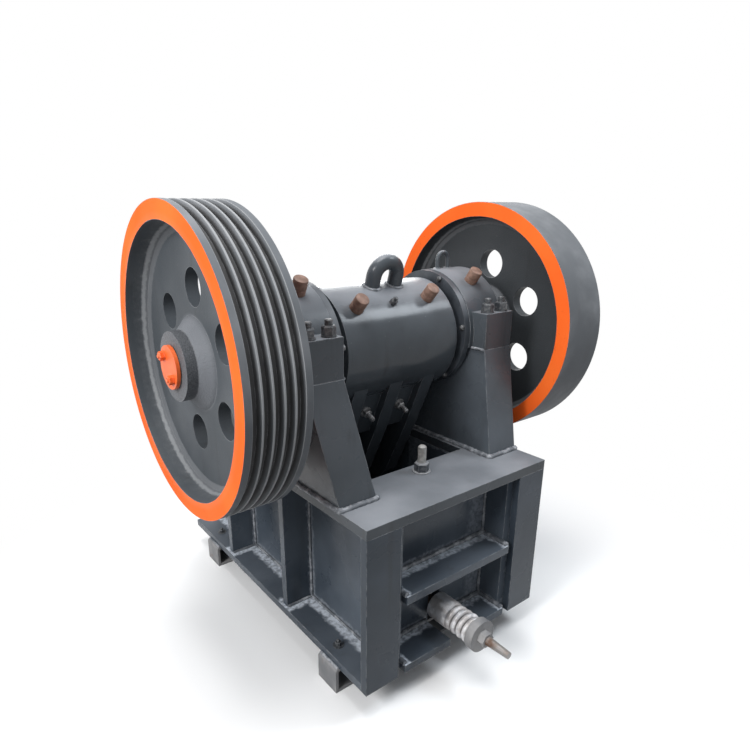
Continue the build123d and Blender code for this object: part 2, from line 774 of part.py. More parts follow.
# Filler plugs and lifting eyes on the bearing caps
with BuildPart() as bearing_plugs:
    for plug_x, plug_angle in ((20.0 - cap_mid, 28.0), (cap_mid + 1.0, 35.0)):
        plug_plane = Plane(
            origin=(plug_x, 0, shaft_height),
            x_dir=(1, 0, 0),
            z_dir=(0, -sin(radians(plug_angle)), cos(radians(plug_angle))),
        )
        with BuildSketch(plug_plane.offset(cap_radius)):
            Circle(plug_radius)
        extrude(amount=plug_length)
bearing_plugs.part.label = "bearing_plugs"

cap_eye_bar, cap_eye_bend, cap_eye_leg = 7.5, 24.0, 28.0
cap_eye_plane = Plane(
    origin=(cap_mid - 19.0, 0, shaft_height + cap_radius),
    x_dir=(1, 0, 0),
    z_dir=(0, -1, 0),
)
with BuildPart() as cap_eye:
    with BuildLine(cap_eye_plane) as cap_eye_path:
        Line((-cap_eye_bend, 0), (-cap_eye_bend, cap_eye_leg))
        CenterArc((0, cap_eye_leg), cap_eye_bend, 180, -180)
        Line((cap_eye_bend, cap_eye_leg), (cap_eye_bend, 0))
    with BuildSketch(Plane(origin=cap_eye_path.line @ 0, z_dir=cap_eye_path.line % 0)):
        RegularPolygon(cap_eye_bar, bar_sides // 2)
    sweep()
cap_eye.part.label = "cap_eye"

pieces = [
    rear_foot,
    front_foot,
    left_base_flange,
    right_base_flange,
    left_side_plate,
    right_side_plate,
    left_rear_end_plate,
    right_rear_end_plate,
    top_plate,
    rear_wall,
    rear_shelf,
    left_bottom_plate,
    right_bottom_plate,
    left_side_ribs,
    right_side_ribs,
    left_pedestal,
    right_pedestal,
    left_bearing_housing,
    right_bearing_housing,
    left_upper_wall,
    right_upper_wall,
    front_wall,
    front_ribs,
    fixed_jaw_plate,
    moving_jaw_plate,
    left_cheek_plate,
    right_cheek_plate,
    pitman,
    pitman_plugs,
    left_seal_ring,
    right_seal_ring,
    lifting_eye,
    eccentric_shaft,
    flywheel,
    belt_pulley,
    left_keeper_plate,
    right_keeper_plate,
    toggle_seat,
    toggle_plate,
    tension_rod,
    rod_pin,
    rod_collar,
    tension_spring,
    adjusting_stud,
    bearing_plugs,
    cap_eye,
]
# The origin lies on the floor below the middle of the machine's length
origin_shift = -(frame_front + rod_end) / 2
for piece in pieces:
    piece.part.locate(Location((0, origin_shift, 0)))
    export_step(piece.part, "parts/" + piece.part.label + ".step")
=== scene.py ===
"""Looks of the jaw crusher: paint, welds, fasteners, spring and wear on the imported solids."""
import json
import math

import bmesh
import bpy
from mathutils import Matrix, Vector


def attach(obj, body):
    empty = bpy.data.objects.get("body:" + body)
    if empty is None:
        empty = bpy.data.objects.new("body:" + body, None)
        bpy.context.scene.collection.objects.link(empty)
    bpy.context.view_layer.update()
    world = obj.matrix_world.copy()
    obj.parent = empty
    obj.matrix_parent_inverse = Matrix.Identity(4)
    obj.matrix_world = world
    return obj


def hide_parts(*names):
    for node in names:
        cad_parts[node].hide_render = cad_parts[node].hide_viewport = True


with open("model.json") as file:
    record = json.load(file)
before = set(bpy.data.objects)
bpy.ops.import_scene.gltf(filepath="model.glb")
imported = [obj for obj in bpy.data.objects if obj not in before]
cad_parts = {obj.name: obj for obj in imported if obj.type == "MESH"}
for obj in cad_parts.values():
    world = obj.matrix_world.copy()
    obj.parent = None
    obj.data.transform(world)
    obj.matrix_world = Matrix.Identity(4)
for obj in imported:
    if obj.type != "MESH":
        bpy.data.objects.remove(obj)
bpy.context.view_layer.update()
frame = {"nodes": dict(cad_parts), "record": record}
scene = bpy.context.scene
scene.view_settings.view_transform = "Standard"

# The shaft line's place from front to rear, in the model's metres
SHAFT_Y = -0.043

# Places in millimetres: x from the machine's middle, y from the shaft line, z from the floor
SHAFT, BARREL, ROD = 983, 973, 168
FOOT_TOP, FLANGE_TOP = 85, 110
SHELF_LOW, SHELF_TOP = 321, 347
LEDGE_LOW, LEDGE_TOP = 579, 609
WASHER_TOP, NUT_TOP = LEDGE_TOP + 4, LEDGE_TOP + 32
BLOCK_LOW, BLOCK_TOP = 941, 1055
CHAMBER, SIDE_OUT, RIB_OUT, FRAME_OUT = 217, 252, 353, 362
PEDESTAL_IN, PEDESTAL_OUT, PEDESTAL_REACH = 234, 359, 333
HEAD_IN, HEAD_REACH = 278, 245
UPPER_WALL_OUT, UPPER_WALL_FRONT = 264, 600
SHELF_REAR, END_PLATE, WALL_REAR = -446, -426, -340
FEED_FACE, FRONT_FACE, SIDE_FRONT = 500, 540, 725
RIBS, FRONT_RIBS, RIB_THICKNESS = (-10, 400), (180, 430, 680), 25
FEET, FOOT_REACH = (-274, 552), 47
ROD_GAP, SHAFT_END, SPRING_FRONT = 30, 658, -356
BARREL_R, CAP_R, SEAL_BOLT_R = 181, 195, 183

# The two eyes: middle, lean from the top in degrees, and half the distance between the legs
EYE_X, EYE_LEAN, EYE_BEND = 12, 17, 44
CAP_EYE_X, CAP_EYE_LEAN, CAP_EYE_BEND = 319, 0, 24

# The wheels in metres: the rim's middle and half widths, then radii from the hub outwards
WHEEL_X, WHEEL_HALF, GROOVED_HALF = 0.565, 0.085, 0.068
HUB_R, FLARE_R, RIM_R, GROOVE_R, WHEEL_R = 0.092, 0.126, 0.362, 0.393, 0.41


def at(x, y, z):
    """A point given in millimetres from the shaft line and the floor, in the model's metres."""
    return Vector((x / 1000, y / 1000 + SHAFT_Y, z / 1000))


def around(x, radius, degrees, centre=SHAFT):
    """A point on a circle about the shaft, turned from the top towards the rear."""
    turn = math.radians(degrees)
    return at(x, -radius * math.sin(turn), centre + radius * math.cos(turn))


def outward(degrees):
    """The direction away from the shaft, turned from the top towards the rear."""
    turn = math.radians(degrees)
    return Vector((0, -math.sin(turn), math.cos(turn)))


# Camera, light and floor

FLOOR_LIT, FLOOR_SEEN = (0.34, 0.34, 0.34), (0.95, 0.95, 0.95)
FLOOR_REACH, FADE_START, FADE_END = 30, 0.75, 1.6


def place_camera():
    """The photograph's viewpoint, with its lens and framing."""
    data = bpy.data.cameras.new("photo_camera")
    data.sensor_width = 36.0
    data.lens = 27.6307
    data.shift_x = 0.02783
    data.shift_y = 0.05019
    data.clip_end = 100.0
    camera = bpy.data.objects.new("photo_camera", data)
    scene.collection.objects.link(camera)
    place = (-1.13946, -1.48078, 1.35464)
    right = Vector((0.799135, -0.601136, -0.004376))
    down = Vector((-0.19936, -0.258144, -0.945313))
    ahead = Vector((0.567133, 0.756305, -0.326134))
    turn = Matrix((right, -down, -ahead)).transposed().to_4x4()
    camera.matrix_world = Matrix.Translation(place) @ turn
    scene.camera = camera


def softbox(name, place, target, size, power, tone=(1, 1, 1)):
    data = bpy.data.lights.new(name, "AREA")
    data.shape = "DISK"
    data.size = size
    data.energy = power
    data.color = tone
    lamp = bpy.data.objects.new(name, data)
    scene.collection.objects.link(lamp)
    aim = Vector(target) - Vector(place)
    turn = aim.to_track_quat("-Z", "Y").to_matrix().to_4x4()
    lamp.matrix_world = Matrix.Translation(place) @ turn


def white_to_the_eye(tree):
    """One for rays that should meet plain white: camera, mirrored and see-through rays."""
    path = tree.nodes.new("ShaderNodeLightPath")
    total = path.outputs["Is Camera Ray"]
    for ray in ("Is Glossy Ray", "Is Transmission Ray"):
        plus = tree.nodes.new("ShaderNodeMath")
        plus.use_clamp = True
        tree.links.new(total, plus.inputs[0])
        tree.links.new(path.outputs[ray], plus.inputs[1])
        total = plus.outputs[0]
    return total


def light_studio():
    world = bpy.data.worlds.new("studio")
    scene.world = world
    world.use_nodes = True
    tree = world.node_tree
    tree.nodes.clear()
    out = tree.nodes.new("ShaderNodeOutputWorld")
    seen = tree.nodes.new("ShaderNodeBackground")
    seen.inputs["Color"].default_value = (1, 1, 1, 1)
    lit = tree.nodes.new("ShaderNodeBackground")
    lit.inputs["Color"].default_value = (0.93, 0.96, 1, 1)
    lit.inputs["Strength"].default_value = 0.35
    mix = tree.nodes.new("ShaderNodeMixShader")
    tree.links.new(white_to_the_eye(tree), mix.inputs[0])
    tree.links.new(lit.outputs[0], mix.inputs[1])
    tree.links.new(seen.outputs[0], mix.inputs[2])
    tree.links.new(mix.outputs[0], out.inputs["Surface"])
    softbox("top_softbox", (-0.5, -0.2, 4.0), (0, 0, 0.6), 2.0, 86)
    softbox("left_softbox", (-3.0, -0.65, 2.35), (0, 0, 0.5), 1.4, 92)
    softbox("right_softbox", (2.45, -1.6, 3.75), (0, 0, 0.95), 1.3, 62, (0.86, 0.93, 1))
    softbox("front_softbox", (2.4, 2.9, 1.9), (0, 0, 0.6), 2.0, 70)


def lay_floor():
    """A pale floor that takes the shadow near the machine and fades to white further out."""
    look = Finish("pale_floor")
    look.shader.inputs["Roughness"].default_value = 0.9
    look.shader.inputs["Specular IOR Level"].default_value = 0.1
    seen = white_to_the_eye(look.tree)
    look.feed(look.shader.inputs["Base Color"], look.tint(seen, FLOOR_LIT, FLOOR_SEEN))
    length = look.add("ShaderNodeVectorMath", operation="LENGTH")
    look.feed(length.inputs[0], look.place)
    far = look.times(look.between(length.outputs["Value"], FADE_START, FADE_END), seen)
    mix = look.add("ShaderNodeMixShader")
    look.feed(mix.inputs[0], far)
    look.feed(mix.inputs[1], look.shader.outputs[0])
    look.feed(mix.inputs[2], look.add("ShaderNodeEmission").outputs[0])
    look.feed(look.tree.nodes["Material Output"].inputs["Surface"], mix.outputs[0])
    corners = [(x * FLOOR_REACH, y * FLOOR_REACH, 0) for x, y in ((-1, -1), (1, -1), (1, 1), (-1, 1))]
    mesh = bpy.data.meshes.new("floor")
    mesh.from_pydata(corners, [], [(0, 1, 2, 3)])
    mesh.materials.append(look.material)
    floor = bpy.data.objects.new("floor", mesh)
    scene.collection.objects.link(floor)


# Finishes

BLUE_SLATE = (0.038, 0.05, 0.066), (0.062, 0.078, 0.099)
GREY_SLATE = (0.046, 0.054, 0.062), (0.073, 0.083, 0.093)
THIN_DUST, DEEP_SHADE = (0.155, 0.18, 0.21), (0.024, 0.032, 0.042)
DUST, PALE_DUST_AND_SHEEN = (0.26, 0.274, 0.298), (0.68, 0.725, 0.79)
# The pale corner strip colours are dust, and also painted sky reflection on the flange tops and painted
# light at the rear wall's ends.
LYING_DUST_AND_SHEEN, CLINGING_DUST_AND_LIGHT = (0.6, 0.645, 0.71), (0.32, 0.345, 0.385)
# The grime colour also stands for painted shade on the flywheel's web.
GRIME_AND_SHADE, GROOVE_BOTTOM_TONE = (0.026, 0.025, 0.024), (0.05, 0.046, 0.043)
# The worn edge colours are worn paint with a painted edge highlight.
CHIPPED, WORN_EDGE_AND_HIGHLIGHT = (0.16, 0.165, 0.17), (0.32, 0.335, 0.355)
# The wheels' film colours are dust, laid thickly on the rims and hubs as painted light.
PULLEY_DUST_AND_LIGHT, FLYWHEEL_DUST_AND_LIGHT = (0.21, 0.217, 0.23), (0.28, 0.287, 0.3)
# The crest colour is a painted highlight along the belt grooves' crests.
CREST_HIGHLIGHT, HUB_SHEEN, WHEEL_EDGE_AND_HIGHLIGHT = (0.4, 0.405, 0.41), (0.36, 0.375, 0.415), (0.3, 0.31, 0.325)
CAST_FILLET, CAST_LINE = (0.2, 0.205, 0.215), (0.36, 0.37, 0.38)
RING_ORANGE, SCUFFED_ORANGE = ((0.9, 0.13, 0.016), (0.95, 0.17, 0.026)), (0.5, 0.08, 0.02)
KEEPER_ORANGE, KEEPER_EDGE = ((0.76, 0.12, 0.02), (0.82, 0.155, 0.035)), (0.62, 0.1, 0.03)
WELD_TONES = (0.11, 0.12, 0.135), (0.36, 0.375, 0.4)
DARK_BOLT = (0.035, 0.039, 0.045), (0.11, 0.115, 0.12)
PRIMER = (0.16, 0.163, 0.172), (0.3, 0.295, 0.295)
PRIMER_RUST, PRIMER_EDGE = (0.15, 0.09, 0.06), (0.36, 0.36, 0.36)
NUT_PAINT = (0.04, 0.046, 0.055), (0.12, 0.128, 0.14)
NUT_EDGE, NUT_RUB = (0.4, 0.41, 0.42), (0.36, 0.37, 0.385)
STUD_ZINC = (0.3, 0.295, 0.285), (0.52, 0.51, 0.49)
BRIGHT_ZINC = (0.2, 0.2, 0.205), (0.42, 0.42, 0.425)
DULL_ZINC = (0.07, 0.073, 0.078), (0.17, 0.172, 0.176)
STEEL, RUST = (0.26, 0.245, 0.235), (0.13, 0.075, 0.05)
SPRING_TONES_AND_LIGHT, SPRING_SOIL = ((0.48, 0.48, 0.5), (0.85, 0.84, 0.85)), (0.26, 0.225, 0.2)
BROWN_CAP = (0.15, 0.085, 0.06), (0.25, 0.15, 0.112)
CAST_JAW, POLISHED_JAW = ((0.075, 0.07, 0.066), (0.17, 0.15, 0.135)), (0.33, 0.32, 0.31)
BLACK_TONES, BLACK_EDGE = ((0.043, 0.05, 0.06), (0.083, 0.094, 0.108)), (0.12, 0.125, 0.13)


class Finish:
    """One procedural finish, wired on the piece's own coordinates."""

    def __init__(self, name):
        self.material = bpy.data.materials.new(name)
        self.material.use_nodes = True
        self.tree = self.material.node_tree
        self.shader = self.tree.nodes["Principled BSDF"]
        self.place = self.add("ShaderNodeTexCoord").outputs["Object"]
        self.face = self.add("ShaderNodeNewGeometry").outputs["Normal"]

    def add(self, kind, **settings):
        node = self.tree.nodes.new(kind)
        for key, value in settings.items():
            setattr(node, key, value)
        return node

    def feed(self, socket, value):
        if isinstance(value, bpy.types.NodeSocket):
            self.tree.links.new(value, socket)
        elif socket.type == "RGBA":
            socket.default_value = (*value, 1)
        else:
            socket.default_value = value

    def calc(self, operation, first, second=0.0):
        node = self.add("ShaderNodeMath", operation=operation)
        self.feed(node.inputs[0], first)
        self.feed(node.inputs[1], second)
        return node.outputs[0]

    def times(self, first, second):
        return self.calc("MULTIPLY", first, second)

    def grain(self, scale, detail, stretch=(1, 1, 1)):
        """Cloudy noise, so many patches to the metre, drawn out along an axis by stretch."""
        turn = self.add("ShaderNodeMapping")
        turn.inputs["Scale"].default_value = stretch
        self.feed(turn.inputs["Vector"], self.place)
        node = self.add("ShaderNodeTexNoise")
        node.inputs["Scale"].default_value = scale
        node.inputs["Detail"].default_value = detail
        self.feed(node.inputs["Vector"], turn.outputs[0])
        return node.outputs[0]

    def between(self, value, low, high):
        """A mask that rises smoothly from 0 at low to 1 at high."""
        node = self.add("ShaderNodeMapRange", interpolation_type="SMOOTHSTEP")
        self.feed(node.inputs["Value"], value)
        node.inputs["From Min"].default_value = low
        node.inputs["From Max"].default_value = high
        return node.outputs[0]

    def band(self, value, start, full, fading, gone):
        """A mask that is 1 from full to fading, and 0 before start and past gone."""
        return self.times(self.between(value, start, full), self.between(value, gone, fading))

    def patches(self, scale, detail, low, high):
        """A mask of cloudy patches."""
        return self.between(self.grain(scale, detail), low, high)

    def waver(self, value, scale, detail, reach):
        """A value that wanders up and down by half the reach."""
        return self.calc("ADD", value, self.wander(scale, detail, reach))

    def wander(self, scale, detail, reach):
        return self.times(self.calc("SUBTRACT", self.grain(scale, detail), 0.5), reach)

    def tint(self, amount, under, over):
        node = self.add("ShaderNodeMix", data_type="RGBA")
        self.feed(node.inputs["Factor"], amount)
        self.feed(node.inputs[6], under)
        self.feed(node.inputs[7], over)
        return node.outputs[2]

    def glaze(self, colour, mask, strength, over):
        """Another colour laid over the masked places, as thickly as strength says."""
        return self.tint(self.times(mask, strength), colour, over)

    def share(self, amount, low, high):
        """A number that goes from low to high as amount goes from 0 to 1."""
        node = self.add("ShaderNodeMapRange")
        self.feed(node.inputs["Value"], amount)
        node.inputs["To Min"].default_value = low
        node.inputs["To Max"].default_value = high
        return node.outputs[0]

    def parts(self, vector):
        node = self.add("ShaderNodeSeparateXYZ")
        self.feed(node.inputs[0], vector)
        return node.outputs

    def soft_edges(self, radius):
        """Rounded edges for the light, and a mask that is 1 along them."""
        node = self.add("ShaderNodeBevel", samples=4)
        node.inputs["Radius"].default_value = radius
        dot = self.add("ShaderNodeVectorMath", operation="DOT_PRODUCT")
        self.feed(dot.inputs[0], node.outputs[0])
        self.feed(dot.inputs[1], self.face)
        bent = self.calc("SUBTRACT", 1.0, dot.outputs["Value"])
        return node.outputs[0], self.between(bent, 0.01, 0.12)

    def relief(self, height, strength, distance, normal=None):
        node = self.add("ShaderNodeBump")
        node.inputs["Strength"].default_value = strength
        node.inputs["Distance"].default_value = distance
        self.feed(node.inputs["Height"], height)
        if normal is not None:
            self.feed(node.inputs["Normal"], normal)
        return node.outputs[0]

    def finish(self, colour, roughness, normal, metallic=0.0):
        self.feed(self.shader.inputs["Base Color"], colour)
        self.feed(self.shader.inputs["Roughness"], roughness)
        self.feed(self.shader.inputs["Normal"], normal)
        self.shader.inputs["Metallic"].default_value = metallic
        return self.material


def slate_coat(look, tones):
    """Brushed slate paint with cloudy tone, run marks and small chips."""
    colour = look.tint(look.patches(2.3, 6, 0.36, 0.66), *tones)
    runs = look.between(look.grain(1.0, 5, (30, 30, 2.0)), 0.55, 0.8)
    colour = look.glaze(colour, runs, 0.45, GRIME_AND_SHADE)
    return look.glaze(colour, look.patches(95, 3, 0.7, 0.76), 0.35, CHIPPED)


def pale_corner_strips(look, corners, thickness):
    """Pale strips along welded corners, each given by its axis, place and width: brushed dust, with
    painted sky reflection on the flange tops and painted light at the rear wall's ends.
    """
    spot = look.parts(look.place)
    ragged = look.wander(38, 6, 0.03)
    along = 0.0
    for axis, place, width in corners:
        value = look.calc("ABSOLUTE", spot["X"]) if axis == "X" else spot[axis]
        off = look.calc("ABSOLUTE", look.calc("SUBTRACT", value, place))
        near = look.between(look.calc("ADD", off, ragged), width, 0.6 * width)
        along = look.calc("MAXIMUM", along, near)
    streaks = look.patches(85, 6, 0.32, 0.62)
    return look.times(along, look.share(streaks, 0.3 * thickness, 0.95 * thickness))


def slate_paint(
    name, film, dust_and_sheen_colour, dull=0.4, film_dust_and_shade_colour=THIN_DUST,
    settled=0.85, corners=(), lying=True, tones=BLUE_SLATE,
):
    """Slate paint with a film all over, a layer of dust on what faces up and pale corner strips; the
    film is painted shade on the rear end plates, and the palest dust and strips are partly painted sky
    reflection and light.
    """
    look = Finish(name)
    colour = look.glaze(slate_coat(look, tones), look.patches(3.1, 7, 0.3, 0.7), film, film_dust_and_shade_colour)
    up = look.between(look.parts(look.face)["Z"], 0.5, 0.95)
    dust = look.times(up, look.share(look.patches(4.5, 8, 0.3, 0.72), 0.5, 1.0))
    colour = look.glaze(colour, dust, settled, dust_and_sheen_colour)
    # Pale corner strips: dust, and on the flange tops and the rear wall's ends painted sky reflection
    # and painted light.
    if corners and lying:
        colour = look.glaze(colour, pale_corner_strips(look, corners, 1.0), up, LYING_DUST_AND_SHEEN)
    elif corners:
        colour = look.tint(pale_corner_strips(look, corners, 0.55), colour, CLINGING_DUST_AND_LIGHT)
    rounded, edge = look.soft_edges(0.004)
    # Worn paint along the edges, with a painted edge highlight.
    worn_and_highlit = look.times(edge, look.patches(28, 6, 0.36, 0.6))
    colour = look.glaze(colour, worn_and_highlit, 0.8, WORN_EDGE_AND_HIGHLIGHT)
    rough = look.share(look.grain(7, 6), 0.4 * dull, dull)
    rough = look.calc("ADD", rough, look.times(dust, 0.2))
    normal = look.relief(look.grain(240, 2), 0.12, 0.0006, rounded)
    normal = look.relief(look.grain(9, 3), 0.25, 0.004, normal)
    look.shader.inputs["Specular IOR Level"].default_value = 0.22
    return look.finish(colour, rough, normal)


def wheel_places(look):
    """Distance from the shaft line, and from the middle of the rim's width."""
    spot = look.parts(look.place)
    side_y = look.calc("SUBTRACT", spot["Y"], SHAFT_Y)
    side_z = look.calc("SUBTRACT", spot["Z"], SHAFT / 1000)
    squares = look.calc("ADD", look.times(side_y, side_y), look.times(side_z, side_z))
    off_middle = look.calc("SUBTRACT", look.calc("ABSOLUTE", spot["X"]), WHEEL_X)
    return look.calc("SQRT", squares), look.calc("ABSOLUTE", off_middle)


def orange_ring(look, colour, radius, off_middle):
    """The orange band painted on both sides of the rim."""
    sides = look.between(off_middle, WHEEL_HALF - 0.0008, WHEEL_HALF - 0.0004)
    ring = look.between(look.waver(radius, 16, 3, 0.004), RIM_R + 0.0005, RIM_R + 0.0012)
    ring = look.times(ring, look.between(radius, WHEEL_R - 0.0002, WHEEL_R - 0.0006))
    orange = look.tint(look.patches(3.5, 6, 0.35, 0.7), *RING_ORANGE)
    orange = look.glaze(orange, look.patches(55, 5, 0.67, 0.75), 0.4, SCUFFED_ORANGE)
    return look.tint(look.times(ring, sides), colour, orange)


def wheel_dish(look, colour, radius, off_middle):
    """The cast fillet where the web meets the rim, with a paler line along it."""
    inside = look.between(off_middle, WHEEL_HALF - 0.017, WHEEL_HALF - 0.023)
    ragged = look.waver(radius, 60, 6, 0.006)
    fillet = look.band(ragged, RIM_R - 0.028, RIM_R - 0.023, RIM_R - 0.008, RIM_R - 0.001)
    line = look.band(ragged, RIM_R - 0.0115, RIM_R - 0.009, RIM_R - 0.007, RIM_R - 0.0045)
    colour = look.glaze(colour, look.times(fillet, inside), 0.4, CAST_FILLET)
    return look.glaze(colour, look.times(line, inside), 0.4, CAST_LINE)


def groove_tones(look, colour, radius, off_middle):
    """Darker colour deep in the belt grooves, and a painted highlight along the crests between them."""
    deep = look.band(radius, GROOVE_R - 0.008, GROOVE_R - 0.003, GROOVE_R + 0.004, WHEEL_R - 0.0015)
    colour = look.glaze(colour, deep, 0.7, GROOVE_BOTTOM_TONE)
    # Painted highlight along the crests.
    crest = look.between(radius, WHEEL_R - 0.0025, WHEEL_R - 0.0005)
    crest = look.times(crest, look.between(off_middle, GROOVED_HALF, GROOVED_HALF - 0.0015))
    return look.glaze(colour, crest, 0.55, CREST_HIGHLIGHT)


def wheel_paint(name, grooved):
    """Slate wheels with an orange ring on each side of the rim; the rims and hubs carry painted light,
    and the flywheel's web painted shade.
    """
    look = Finish(name)
    colour = slate_coat(look, GREY_SLATE)
    radius, off_middle = wheel_places(look)
    hub = look.between(radius, FLARE_R + 0.009, FLARE_R - 0.011)
    rim_and_hub = look.calc("MAXIMUM", look.between(radius, RIM_R - 0.002, RIM_R + 0.023), hub)
    # On the flywheel the web between rim and hub is darkened with painted shade.
    if not grooved:
        colour = look.tint(look.share(rim_and_hub, 0.45, 0.0), colour, GRIME_AND_SHADE)
    # A film of dust on the wheels, laid thickly on the rims and hubs as painted light.
    film = look.share(look.patches(5, 7, 0.4, 0.75), 0.4, 1.0)
    spread = look.share(rim_and_hub, 0.22 if grooved else 0.03, 0.9)
    colour = look.glaze(colour, film, spread, PULLEY_DUST_AND_LIGHT if grooved else FLYWHEEL_DUST_AND_LIGHT)
    if grooved:
        colour = groove_tones(look, colour, radius, off_middle)
    # Painted reflection on the hub and its flare.
    colour = look.glaze(colour, hub, 0.2, HUB_SHEEN)
    sandy = look.share(look.patches(340, 4, 0.38, 0.6), 0.2, 0.5)
    colour = look.glaze(colour, look.between(radius, HUB_R + 0.002, HUB_R + 0.0005), sandy, GRIME_AND_SHADE)
    colour = wheel_dish(look, colour, radius, off_middle)
    colour = orange_ring(look, colour, radius, off_middle)
    rounded, edge = look.soft_edges(0.003)
    # Worn paint along the wheels' edges, with a painted edge highlight.
    worn_and_highlit = look.times(edge, look.patches(24, 6, 0.35, 0.62))
    colour = look.glaze(colour, worn_and_highlit, 0.8, WHEEL_EDGE_AND_HIGHLIGHT)
    rough = look.share(look.grain(8, 6), 0.38, 0.58)
    rim = look.between(radius, RIM_R + 0.008, RIM_R + 0.023)
    rough = look.calc("ADD", rough, look.times(rim, 0.14))
    normal = look.relief(look.grain(210, 2), 0.12, 0.0006, None if grooved else rounded)
    normal = look.relief(look.grain(26, 4), 0.1, 0.003, normal)
    sand_cast = look.share(look.between(radius, FLARE_R + 0.009, FLARE_R - 0.006), 0.35, 1.0)
    sand_cast = look.times(sand_cast, look.between(radius, RIM_R + 0.008, RIM_R - 0.012))
    normal = look.relief(look.times(look.grain(230, 4), sand_cast), 0.8, 0.0025, normal)
    look.shader.inputs["Specular IOR Level"].default_value = 0.16
    return look.finish(colour, rough, normal)


def mottled(name, tones, patches, gloss, grit, edges=None, metallic=0.0):
    """Two tones in cloudy patches, with uneven gloss, fine grit and, where given, worn edges.

    patches and gloss hold a scale, a detail and two levels, grit a scale, a detail, a strength
    and a depth, and edges a radius, a strength and a colour.
    """
    look = Finish(name)
    colour = look.tint(look.patches(*patches), *tones)
    rounded = None
    if edges:
        radius, strength, bare = edges
        rounded, edge = look.soft_edges(radius)
        colour = look.glaze(colour, edge, strength, bare)
    scale, detail, low, high = gloss
    rough = look.share(look.grain(scale, detail), low, high)
    scale, detail, strength, depth = grit
    normal = look.relief(look.grain(scale, detail), strength, depth, rounded)
    return look.finish(colour, rough, normal, metallic)


def weld_paint():
    """Paint over weld metal: paler, lumpy, with bare glints."""
    grit = 420, 4, 0.6, 0.0015
    return mottled("weld_paint", WELD_TONES, (45, 6, 0.42, 0.7), (70, 4, 0.28, 0.6), grit)


def dark_paint():
    """Dark paint on the bolts and nuts of the frame."""
    grit = 700, 3, 0.3, 0.0006
    return mottled("dark_fastener_paint", DARK_BOLT, (120, 5, 0.4, 0.7), (90, 4, 0.3, 0.55), grit)


def zinc_steel(name, tones):
    """Zinc on the clamp studs and the seal rings' bolts."""
    grit = 600, 3, 0.25, 0.0006
    return mottled(name, tones, (90, 6, 0.35, 0.7), (150, 4, 0.3, 0.55), grit, metallic=0.6)


def orange_paint():
    """Orange paint on the keeper plates and their bolts."""
    grit, edges = (420, 2, 0.2, 0.0005), (0.0015, 0.5, KEEPER_EDGE)
    return mottled("orange_paint", KEEPER_ORANGE, (40, 5, 0.35, 0.7), (30, 4, 0.3, 0.5), grit, edges)


def brown_cap_plastic():
    """Brown plastic of the filler caps."""
    grit = 500, 3, 0.25, 0.0006
    return mottled("brown_cap_plastic", BROWN_CAP, (60, 6, 0.35, 0.7), (80, 4, 0.45, 0.7), grit)


def wear_steel():
    """Cast jaw and cheek plates, darkened in the casting and polished on the crests."""
    grit, edges = (130, 6, 0.6, 0.002), (0.004, 0.6, POLISHED_JAW)
    return mottled("wear_steel", CAST_JAW, (9, 8, 0.35, 0.7), (40, 5, 0.42, 0.75), grit, edges, 0.4)


def black_paint():
    """Near-black paint of the seal rings."""
    grit, edges = (300, 2, 0.15, 0.0006), (0.002, 0.4, BLACK_EDGE)
    return mottled("black_paint", BLACK_TONES, (14, 6, 0.38, 0.7), (22, 5, 0.3, 0.55), grit, edges)


def foot_primer():
    """Pale worn primer on the foot channels and the rod's collar."""
    look = Finish("foot_primer")
    colour = look.tint(look.patches(11, 7, 0.36, 0.66), *PRIMER)
    colour = look.glaze(colour, look.patches(26, 8, 0.64, 0.74), 0.5, PRIMER_RUST)
    rounded, edge = look.soft_edges(0.003)
    colour = look.glaze(colour, edge, 0.5, PRIMER_EDGE)
    normal = look.relief(look.grain(180, 4), 0.2, 0.0008, rounded)
    return look.finish(colour, look.share(look.grain(20, 5), 0.4, 0.65), normal)


def nut_and_stud():
    """Slate paint on the nut, rubbed at its washer and top, and zinc on the stud above it."""
    look = Finish("nut_and_stud")
    height = look.parts(look.place)["Z"]
    washer, top = WASHER_TOP / 1000, NUT_TOP / 1000
    paint = look.tint(look.patches(90, 5, 0.38, 0.68), *NUT_PAINT)
    rounded, edge = look.soft_edges(0.0015)
    paint = look.glaze(paint, edge, 0.75, NUT_EDGE)
    on_washer = look.between(height, washer + 0.001, washer)
    near_top = look.between(height, top - 0.005, top - 0.003)
    paint = look.glaze(paint, look.calc("MAXIMUM", on_washer, near_top), 0.7, NUT_RUB)
    zinc = look.tint(look.patches(90, 6, 0.35, 0.7), *STUD_ZINC)
    colour = look.tint(look.between(height, top, top + 0.001), paint, zinc)
    rough = look.share(look.grain(150, 4), 0.3, 0.55)
    return look.finish(colour, rough, look.relief(look.grain(600, 3), 0.2, 0.0006, rounded))


def bare_steel():
    """Bare steel with brown rust in patches."""
    look = Finish("bare_steel")
    rust = look.patches(22, 8, 0.42, 0.66)
    colour = look.tint(rust, STEEL, RUST)
    rough = look.share(rust, 0.38, 0.75)
    return look.finish(colour, rough, look.relief(look.grain(260, 6), 0.4, 0.0012), 0.5)


def spring_steel():
    """Pale paint on the spring and its cup, soiled in patches; the pale tones are lightened beyond the
    paint's own as painted light.
    """
    look = Finish("spring_steel")
    film = look.patches(36, 7, 0.36, 0.64)
    # Pale tones, lightened as painted light.
    colour = look.tint(film, *SPRING_TONES_AND_LIGHT)
    colour = look.glaze(colour, look.patches(24, 7, 0.44, 0.62), 0.55, SPRING_SOIL)
    rough = look.share(film, 0.28, 0.6)
    return look.finish(colour, rough, look.relief(look.grain(330, 5), 0.35, 0.001), 0.15)


# Geometry node trees for what repeats or follows a path


